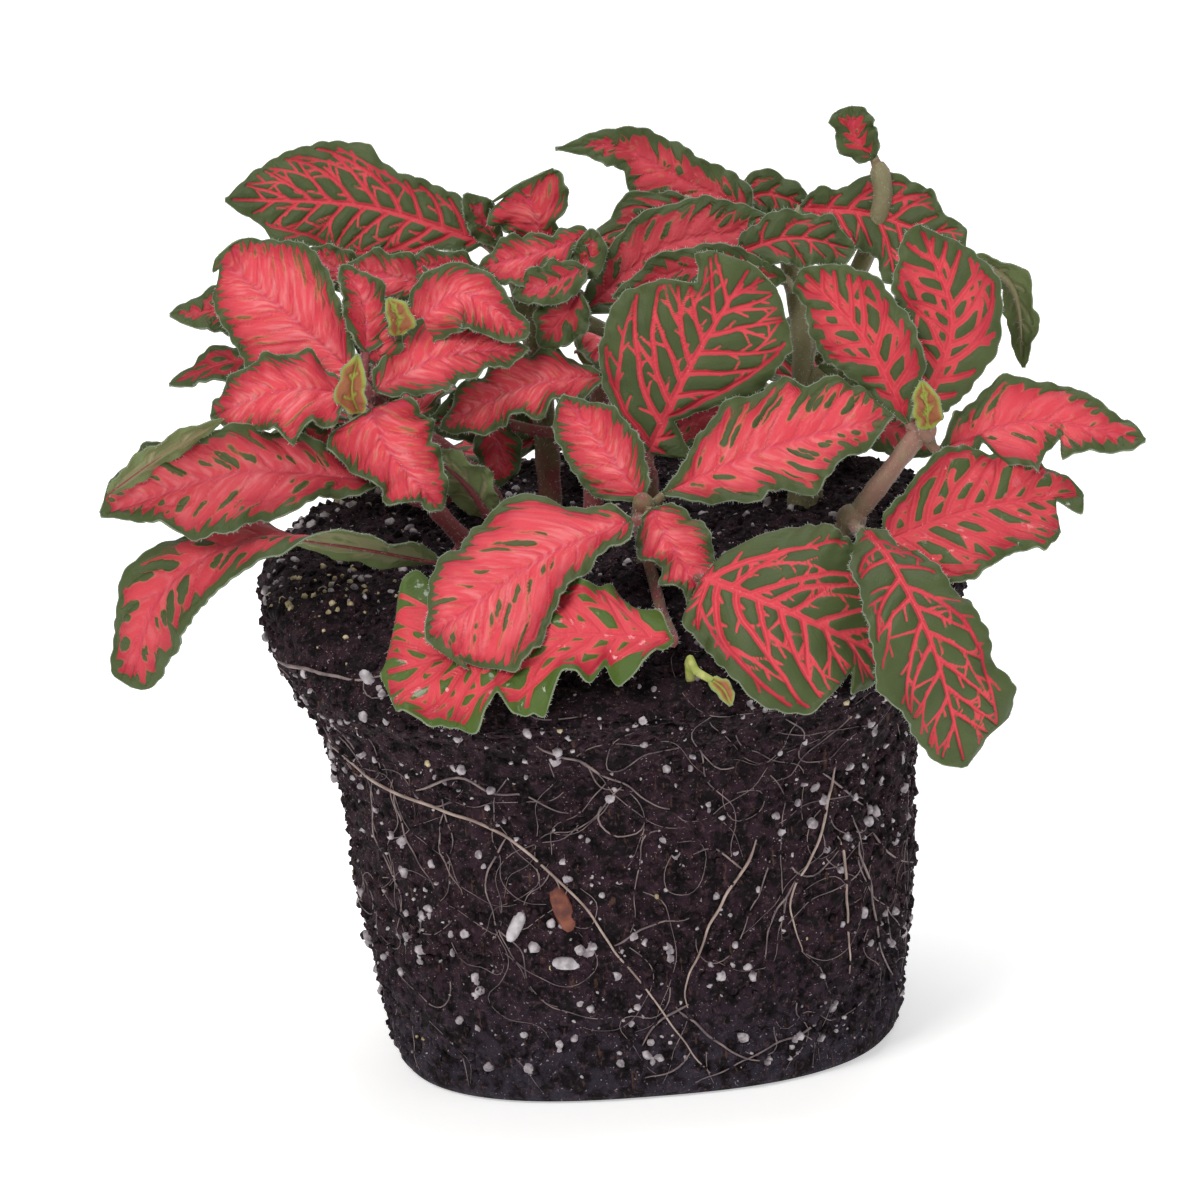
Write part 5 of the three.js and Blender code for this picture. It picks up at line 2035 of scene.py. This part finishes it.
BACK_LEFT = Shoot(
    "back_left", P,
    stems=(Stem(1.8, ((-10.5, 109, 12), (-9, 101, 11), (-8, 90, 9), (-8, 74, 8))),),
    redness=0.48,
    leaves=(
        Leaf((-10.5, 108.5, 12), ((-14.5, 112, 16), (-31, 118.5), (-50.5, 121)), 17, ((24, -6),),
             widest=0.6, point=1.15, fold=5, ruffle=0.5, pink=0.2, nerves=10,
             margin=((-46, 125), (-40, 127.5), (-33, 128), (-29.5, 127.3), (-28.5, 125), (-25, 122.5),
                     (-20, 120.5), (-17, 118.5), (-50, 119.5), (-46, 117.5), (-44, 114), (-38, 113),
                     (-33, 110), (-26, 109), (-21, 111.5))),
        Leaf((-10, 107, 12), ((-5.8, 110.5, 13), (-7, 115.5), (-9, 119.8)), 12.5, ((10, 5),),
             widest=0.8, point=0.9, fold=20, pink=1.0,
             margin=((-15, 118.5), (-10.5, 118.5), (-4.5, 122.5), (-2.3, 119.5), (-4.5, 114))),
        Leaf((-9, 103, 11), ((0.6, 111.6, 9), (-7.5, 109.4, 7), (-15.6, 108.2, 5)), 7.6, ((40, 0),),
             ruffle=0.8, pink=1.0,
             margin=((-12, 112), (-5, 111.5), (0, 113), (-12, 105.5), (-8.5, 104.5), (-6, 108), (-2, 110))),
        Leaf((-9, 101, 11), ((-14.6, 106.4, 6.5), (-20.5, 108.6, 5), (-26.5, 109.2, 4)), 5.6,
             ((35, -5),), pink=1.0),
        Leaf((-10.5, 108.5, 12), ((-12.6, 111.5, 14), (-14.6, 115.5), (-16.6, 119)), 5.4, ((20, 20),),
             painted_shade=0.5),
        Leaf((-9, 101, 11), ((-0.6, 107, 5), (-5, 105.2, 3), (-11, 103.8, 2)), 6.6, ((40, 0),),
             pink=0.8, painted_shade=0.2),
        Leaf((-8.7, 99, 10.5), ((-2.6, 106.5, 7), (0.2, 108.6, 7.5), (0.8, 112.6, 8.5)), 5,
             ((25, 10),), pink=0.7),
        Leaf((-8.5, 95, 10), ((-1.6, 103.6, 3), (-4.6, 99.8, 1.5), (-7.8, 96.6, 1)), 7.6, ((35, 0),),
             pink=0.56, painted_shade=0.5),
        Leaf((-9, 101, 11), ((-22, 106.2, 3), (-28.5, 108, 3.5), (-34.5, 109.6, 4.5)), 7.6,
             ((35, -10),), pink=0.9),
        Leaf((-9, 103, 11), ((-32.5, 107.5, 6), (-36, 110), (-39.6, 112.6)), 6.4, ((35, -10),),
             pink=0.9),
        Leaf((-8, 84, 9), ((-8.4, 84, 9.6), (-17, 87.5, 10.5), (-25.5, 86.5, 10)), 9.6, ((28, 0),),
             widest=0.34, pink=0.4, painted_shade=0.75),
        Leaf((-8, 82, 9), ((-4.5, 83.5, 10.5), (3, 85.5, 12), (10, 84, 11.5)), 9, ((28, 0),), pink=0.4,
             painted_shade=0.75),
    ),
    knobs=(Knob((-10.5, 109.5, 12), 1.8, 1.2),),
)

MIDDLE = Shoot(
    "middle", P,
    stems=(Stem(1.5, ((0.5, 90, 1), (-1, 84, 2), (-2, 72, 2))),),
    leaves=(
        Leaf((0.5, 90, 1), ((0.8, 91.6, -1), (-11, 90.8, -3), (-22.6, 86, -5)), 10.6, ((50, 0),),
             ruffle=1, waves=4, pink=1.0,
             margin=((-9, 96), (-2, 94), (-6, 88.5), (-8.5, 86.5), (-11, 87), (-16, 84))),
        Leaf((-1, 84, 2), ((-15.4, 87, 3), (-14.8, 82.4, 2), (-14.9, 77.4, 1.6)), 6.8, ((15, 10),),
             pink=1.0),
    ),
)

FRONT = Shoot(
    "front", G,
    stems=(Stem(1.8, ((4.7, 72.6, -25), (5, 69.5, -21), (5.2, 66, -16.5))),
           Stem(1.5, ((6, 79, -13), (6, 73, -14), (5.4, 67.5, -15.2)))),
    leaves=(
        Leaf((4.7, 72, -25), ((3.2, 71, -32), (-10, 66.4), (-26.4, 56.5)), 19.4, ((52, -6),),
             widest=0.56, point=0.95, fold=10, ruffle=0.9, pink=0.83, nerves=8,
             margin=((-4, 73.5), (-10, 75.5), (-14, 75), (-19, 72), (-21, 69), (-23.5, 67.5), (-26, 60),
                     (-27, 58.5), (-24, 52.5), (-20, 51.5), (-15, 51.5), (-11, 54), (-10, 57), (-8.4, 59.8),
                     (-5.2, 63.4), (-0.4, 67.4))),
        Leaf((4.7, 72, -25), ((5.8, 72.4, -27.5), (9, 66), (13.2, 57.6)), 10, ((35, 8),), widest=0.42,
             point=1.1, ruffle=0.7, pink=1.0,
             margin=((9, 73), (13.5, 70), (14, 66), (14.8, 62), (3.5, 69), (7, 64.5), (9.5, 61))),
        Leaf((4.7, 72, -25), ((4.9, 74, -25), (0.6, 80.5), (-5, 89.4)), 10.4, ((28, -12),), widest=0.5,
             point=1.1, ruffle=0.7, pink=0.95,
             margin=((-5.5, 81), (-3, 76), (0, 74), (-2, 88.5), (2, 87), (4, 84.5), (5.5, 82), (6, 78))),
        Leaf((4.7, 72, -25), ((7.8, 74.4, -24), (23.5, 79.6), (40.8, 82.8)), 14, ((45, 5),),
             widest=0.5, point=1.2, ruffle=0.9, pink=0.78, nerves=8,
             margin=((10, 77), (13, 82), (17, 86), (22, 87.5), (26, 90), (29, 87.5), (33, 89), (37, 87.5),
                     (40, 85), (11, 73), (21, 72), (29, 72.5), (33, 77), (38, 79.5))),
        Leaf((6, 78, -13), ((6.4, 80.5, -12), (13, 92), (22.8, 105.6)), 25, ((14, -2),), widest=0.5,
             point=0.85, fold=4, ruffle=0.6, pink=0.08, nerves=8,
             margin=((10, 84.5), (16, 86), (22, 87), (24.5, 90), (27, 98), (26.5, 102), (15, 103.5),
                     (10, 104.5), (5, 103.5), (2, 100), (0.5, 95), (0.5, 90), (2, 87))),
        Leaf((5, 66.4, -18), ((7.6, 54, -44), (-11, 56, -44.6), (-33.2, 52.4, -42.4)), 21, ((55, -8),),
             widest=0.58, point=0.85, fold=2, ruffle=1.8, waves=3.5, scallop=0.15, pink=0.52, lime=0.55,
             wet=1.0, nerves=11,
             margin=((5, 58), (0, 62.5), (-3, 62), (-27, 66), (-30, 62), (-33, 57), (-31, 46.5), (-27, 45),
                     (-24, 45.5), (-21, 43.5), (-19, 44), (-17, 48.5), (-15.5, 46), (-11, 46), (-8, 50),
                     (-4, 49.5), (-2, 52), (0, 49), (3, 50.5))),
        Leaf((5.2, 66.4, -18), ((12.4, 62.4, -35), (25.6, 55.6, -42.5), (41.4, 46.4, -40)), 23,
             ((42, 8),), widest=0.46, point=1, fold=6, ruffle=0.7, pink=0.08, nerves=9,
             margin=((15, 66), (20, 67), (27, 69), (30, 68.5), (33, 66), (38, 63), (41.5, 55), (37, 46.5),
                     (32, 48), (31, 44.5), (26, 42.5), (20, 43.5), (15, 48), (12.5, 52), (9, 56), (8, 59))),
    ),
    knobs=(Knob((4.9, 73, -25.5), 1.6, 1.2),),
)

RIGHT = Shoot(
    "right", P,
    stems=(Stem(1.55, ((44.5, 80.5, -14), (40, 75.5, -15), (33.8, 68.7, -16), (29, 63.5, -14),
                (27, 60.5, -12))),),
    redness=0.5, paleness=0.30,
    leaves=(
        Leaf((44, 80, -14), ((42.8, 81.6, -14), (38, 93.5), (29.6, 104.4)), 14, ((22, -14),),
             widest=0.55, point=1.05, fold=12, pink=0.49, nerves=9,
             margin=((39.5, 84), (36, 88), (32, 91), (30, 95), (30, 99), (31, 105.5), (36, 104.5),
                     (40, 102.5), (43, 98), (46, 91), (44.5, 86))),
        Leaf((44.5, 80.5, -14), ((44.8, 83, -11), (50, 95.5), (46.6, 109.4)), 16, ((20, 10),),
             widest=0.5, point=1.05, pink=0.47, nerves=9,
             margin=((50, 107.5), (54, 105), (57, 101), (57.5, 97), (55.5, 90), (51, 85))),
        Leaf((44.5, 80, -14), ((47, 77.6, -15), (60.5, 80.4), (75.8, 76.6)), 13, ((48, 12),),
             widest=0.5, point=1.2, ruffle=0.9, pink=0.7,
             margin=((49, 82), (53, 85), (57, 87), (62, 86), (66, 85.5), (71, 81), (53, 78.5), (56, 75),
                     (60, 73), (63.5, 74.5), (64, 78), (70, 76))),
        Leaf((33.8, 68.7, -16), ((37.8, 65.2, -25), (51, 68.8, -22), (66.4, 69.8, -16)), 17,
             ((48, 15),), widest=0.52, point=1.1, ruffle=0.8, pink=0.52, painted_shade=0.12, wet=0.7, lime=0.1,
             nerves=11,
             margin=((41, 72), (46, 77), (51, 78), (61, 74.5), (65, 73), (62.5, 69.5), (63, 65), (60, 62),
                     (53, 61), (50, 59), (46, 59), (42, 61))),
        Leaf((33.8, 68.7, -16), ((35.2, 67.4, -28), (38.8, 61.5, -40), (43.2, 50, -49),
             (46.4, 33.4, -50)), 16.4, ((60, 10), (50, 14), (25, 18), (8, 20)), widest=0.66, point=1.1,
             fold=10, ruffle=0.7, waves=4, pink=0.24, nerves=10,
             margin=((40, 65), (44, 62), (47, 58.5), (51, 52), (51.5, 48), (54, 44), (53.5, 40), (50, 37.5),
                     (49.5, 34.5), (43, 33.5), (41, 36), (39, 40), (35, 45.5))),
        Leaf((44.8, 81, -16), ((45.4, 80.6, -17.5), (45.4, 84, -18.4), (45, 87.4, -18)), 4.2,
             ((12, 0),), fold=30, pink=0.7, lime=1.1, stalk=0.4, nerves=4),
    ),
    knobs=(Knob((45.2, 80.6, -15), 1.5, 1.3), Knob((33.8, 68.9, -16), 2.2, 1.0)),
)

BACK_RIGHT = Shoot(
    "back_right", G,
    stems=(Stem(1.6, ((28.2, 110, 16), (28.6, 103, 14), (29.2, 95, 10), (28.4, 86, 8), (27, 74, 7))),
           Stem(1.5, ((42, 119, 22), (42, 113, 20), (38, 104, 18), (32, 96, 13), (29, 90, 9))),
           Stem(1.3, ((54, 104.5, 11), (48, 99, 12), (40, 93, 11), (29, 87, 8))),
           Stem(1.2, ((-2.4, 100.4, 9), (4, 97, 12), (14, 92, 13), (28, 84, 8)))),
    redness=0.28, paleness=0.22,
    leaves=(
        Leaf((28, 109, 16), ((23.5, 113.6, 19), (13.5, 119, 21), (5, 124, 22), (-3.4, 124.4, 21)), 10,
             ((30, -5),), widest=0.36, point=1.7, fold=10, pink=0.66, painted_shade=0.30, nerves=8,
             margin=((14, 124), (17, 121.5), (22, 119), (24, 116.5), (6, 120.5), (7, 116.5), (12, 115.5),
                     (1, 126), (5, 126.8))),
        Leaf((28, 107, 16), ((14.4, 116, 18), (7, 112), (2, 104.4, 12)), 9, ((32, -8),), widest=0.5,
             pink=0.75, painted_shade=0.35),
        Leaf((-2, 100.4, 9), ((-1.6, 100.8, 8), (11.5, 109.4), (27.4, 110.4)), 10.6, ((34, -2),),
             widest=0.6, point=1.1, pink=0.64, painted_shade=0.36, nerves=8,
             margin=((1, 107), (5, 112), (10, 115), (17, 116), (22, 114.5), (25, 109), (18, 107), (10, 106),
                     (8, 103), (3, 100.5))),
        Leaf((28.6, 103, 14), ((21, 107.6, 8.5), (29, 109), (37.6, 106.6)), 8.6, ((40, 5),),
             widest=0.5, point=1.1, pink=0.12, painted_shade=0.15,
             margin=((28, 113), (33, 112), (36, 109.5), (36, 104.5), (30, 104), (24, 105.5))),
        Leaf((28, 109, 16), ((20.5, 114, 24), (26, 115.8), (32.4, 113, 24)), 6.6, ((35, 0),), pink=0.3,
             painted_shade=0.2),
        Leaf((28, 109, 16), ((30.4, 113.4, 20), (41, 111.4), (53.2, 105.4, 14)), 12.5, ((35, 5),),
             widest=0.55, point=1.1, ruffle=0.8, pink=0.3, nerves=7,
             margin=((36, 115.5), (46, 116.5), (49, 115), (50.5, 111), (31, 111), (36, 106), (41, 101.5),
                     (45.5, 101))),
        Leaf((42, 118, 22), ((41.4, 119.6, 22), (39, 123, 22.5), (38.6, 127.2, 24)), 6.5, ((10, 0),),
             widest=0.6, point=0.9, fold=20, pink=0.62, nerves=4,
             margin=((36.5, 124), (38, 120), (41.5, 124), (42.6, 121.5))),
        Leaf((54, 104, 11), ((54, 104.6, 10), (59.5, 99.5, 9), (60, 88.4, 8)), 5.4, ((20, 150),),
             pink=0.2, painted_shade=0.4),
        Leaf((29.2, 88, 8.6), ((40, 86.8, 4), (35.5, 89.6, 3.5), (31.2, 90.8, 3.5)), 4.6, ((20, 170),),
             painted_shade=0.5),
        Leaf((28.4, 86, 8), ((24.5, 86.5, 6), (16, 85.5, 4.5), (7, 82, 4)), 8.5, ((25, 0),), pink=0.75,
             painted_shade=0.5),
        Leaf((28, 84, 8), ((33, 84.5, 6), (40, 82, 5), (47, 77.5, 4)), 8.5, ((25, 5),), pink=0.7,
             painted_shade=0.55),
        Leaf((28.6, 102, 13.6), ((27.5, 103.4, 7), (15, 105.8, 5.5), (3, 102.6, 5)), 6.8, ((30, 0),),
             pink=0.6, painted_shade=0.45),
    ),
)


@dataclass(frozen=True)
class RearShoot:
    """A shoot of the rear: pairs of leaves, each turned a quarter from the last, the lower ones longer."""

    name: str
    slot: Slot
    crown: Point
    foot: Point
    turn: float
    lengths: Point
    widths: Point
    pair_drop: float = 3.6
    inner_share: float = 0.68
    first_rise: float = 0.1
    rise_step: float = 0.22

    PINKS = {Slot.GREEN_LEAF: (0.1, 0.35, 0.7), Slot.PINK_LEAF: (0.45, 0.75, 0.95)}
    BUD_PATH = ((0.4, 1.5), (1.6, 4.5), (1.2, 7.5))

    def shoot(self) -> Shoot:
        """The shoot with its stem and leaves.

        Returns:
            The shoot.
        """
        x, y, z = self.crown
        top = RootBall.HEIGHT
        middle = ((x + self.foot[0]) / 2, (y + self.foot[1]) / 2, (z + top) / 2)
        path = ((x, y, z), middle, (*self.foot, top))
        return Shoot(self.name, self.slot, (Stem(1.7, tuple(in_view(p) for p in path)),),
                     tuple(self.leaves()) + tuple(self.bud()), (Knob(in_view((x, y, z + 1)), 1.5, 1.3),))

    def leaves(self) -> Iterable[Leaf]:
        """The leaves from the crown downwards.

        Returns:
            The leaves, two to a pair.
        """
        for pair, length in enumerate(self.lengths):
            level = self.crown[2] - self.pair_drop * (len(self.lengths) - 1 - pair)
            down = (self.crown[2] - level) / (self.crown[2] - RootBall.HEIGHT)
            x, y = (self.crown[k] + down * (self.foot[k] - self.crown[k]) for k in range(2))
            steep = self.first_rise + self.rise_step * pair
            for side, share in ((0, 1.0), (180, self.inner_share)):
                heading = self.turn + 90 * pair + side
                out = direction(0, heading) * length * share

                def at(along: float, rise: float) -> Point:
                    """The place at a share of the reach, risen by a share of the reach."""
                    return in_view((x + out[0] * along, y + out[1] * along, level + rise * length * share))

                path = (at(0.09, 0.03), at(0.55, 0.1 + steep), at(1, steep - 0.18))
                yield Leaf(in_view((x, y, level)), path, self.widths[pair] * math.sqrt(share),
                           ((80, heading), (62, heading), (40, heading)), widest=0.5, point=1.1, ruffle=0.8,
                           phase=heading, pink=self.PINKS[self.slot][pair])

    def bud(self) -> Iterable[Leaf]:
        """The two folded leaves at the tip.

        Returns:
            The leaves.
        """
        x, y, z = self.crown
        for side in (0, 180):
            out = direction(0, self.turn + side)
            path = tuple(in_view((x + out[0] * k, y + out[1] * k, z + h)) for k, h in self.BUD_PATH)
            yield Leaf(in_view((x, y, z)), path, 4.0, ((10, self.turn + side),), fold=30, pink=0.6,
                       lime=1.2, stalk=0.4, nerves=4)


REAR = (
    RearShoot("rear_left", P, (-32, 32, 84), (-23, 24), 212, (26, 20, 13), (16, 12, 8.5)),
    RearShoot("rear_right", G, (35, 33, 84), (25, 25), 148, (27, 20, 13), (17, 12, 8.5)),
    RearShoot("rear_middle", P, (1, 45, 83), (1, 33), 180, (27, 17, 12), (17, 11, 8)),
)


# ---------------------------------------------------------------- studio


@dataclass(frozen=True)
class Lamp:
    """A square soft light: its place and size in metres, its power in watts and its colour."""

    name: str
    place: Point
    size: float
    power: float
    colour: Colour = (1.0, 1.0, 1.0)

    def build(self, aim: Vector) -> None:
        """Hangs the light so that it faces a point.

        Args:
            aim: the point.
        """
        light = bpy.data.lights.new(self.name, "AREA")
        light.size, light.energy, light.color = self.size, self.power, self.colour
        obj = linked(self.name, light)
        obj.location = self.place
        obj.rotation_euler = (aim - Vector(self.place)).to_track_quat("-Z", "Y").to_euler()


@dataclass(frozen=True)
class Studio:
    """A pale floor, soft light and the camera at the front view; lengths in metres."""

    distance: float = 2.4
    frame_width: float = 0.1704
    centre: tuple[float, float] = (-0.0021, 0.0604)
    roll: float = math.radians(4.5)
    sensor: float = 36
    daylight: float = 0.24
    floor_reach: float = 30.0
    floor_drop: float = 0.0002
    aim: Point = (0, 0, 0.07)
    lamps: tuple[Lamp, ...] = (Lamp("key", (-0.9, -1.3, 1.5), 0.9, 22, (1.0, 0.98, 0.96)),
                               Lamp("fill", (1.3, -1.1, 0.8), 1.2, 5, (0.97, 0.98, 1.0)),
                               Lamp("top", (0.1, 0.4, 1.8), 1.2, 15), Lamp("rear", (0.4, 1.5, 0.9), 1.0, 4))

    def build(self) -> None:
        """Sets the floor, the lights, the world and the camera."""
        self.floor()
        for lamp in self.lamps:
            lamp.build(Vector(self.aim))
        world = bpy.data.worlds.new("world")
        bpy.context.scene.world = world
        world.use_nodes = True
        background = world.node_tree.nodes["Background"]
        background.inputs[0].default_value = (1, 1, 1, 1)
        background.inputs[1].default_value = self.daylight
        bpy.context.scene.view_settings.view_transform = "Standard"
        self.camera()

    def floor(self) -> None:
        """A wide pale floor just under the plant."""
        finish = PlainFinish("floor", low=(0.9, 0.9, 0.9), high=(0.93, 0.93, 0.93), roughness=0.9,
                             specular=0.0, glow=0.48)
        reach, level = self.floor_reach / MM, -self.floor_drop / MM
        corners = np.array([[-reach, -reach, level], [reach, -reach, level], [reach, reach, level],
                            [-reach, reach, level]])
        new_object("floor", corners, [(0, 1, 2, 3)], [finish.build()])

    def camera(self) -> None:
        """The camera: from the front, tilted down by the view's tilt and rolled a little."""
        right, up = Vector((1, 0, 0)), Vector((0, SIN_TILT, COS_TILT))
        along = Vector((0, COS_TILT, -SIN_TILT))
        middle = right * self.centre[0] + up * self.centre[1]
        x = right * math.cos(self.roll) - up * math.sin(self.roll)
        y = right * math.sin(self.roll) + up * math.cos(self.roll)
        data = bpy.data.cameras.new("camera")
        data.sensor_width = self.sensor
        data.lens = self.sensor * self.distance / self.frame_width
        camera = linked("camera", data)
        matrix = camera.matrix_world.to_3x3()
        matrix.col[0], matrix.col[1], matrix.col[2] = x, y, -along
        camera.matrix_world = matrix.to_4x4()
        camera.location = middle - along * self.distance
        bpy.context.scene.camera = camera


def main() -> None:
    """Builds the plant and the studio, in order."""
    logging.basicConfig(level=logging.INFO, format="%(name)s: %(message)s")
    growths = Growths()
    leaf_finish = LeafFinish("leaf").build()
    hair = PlainFinish("hair", low=(0.36, 0.42, 0.30), high=(0.50, 0.54, 0.42), roughness=0.6).build()
    RootBall().build(growths)
    rear = [shoot.shoot() for shoot in REAR]
    for shoot in (LEFT_FRONT, BACK_LEFT, MIDDLE, FRONT, RIGHT, BACK_RIGHT, *rear):
        shoot.build(leaf_finish, growths, hair)
    Seedling().build(leaf_finish, growths)
    Studio().build()
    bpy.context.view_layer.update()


if __name__ == "__main__":
    main()
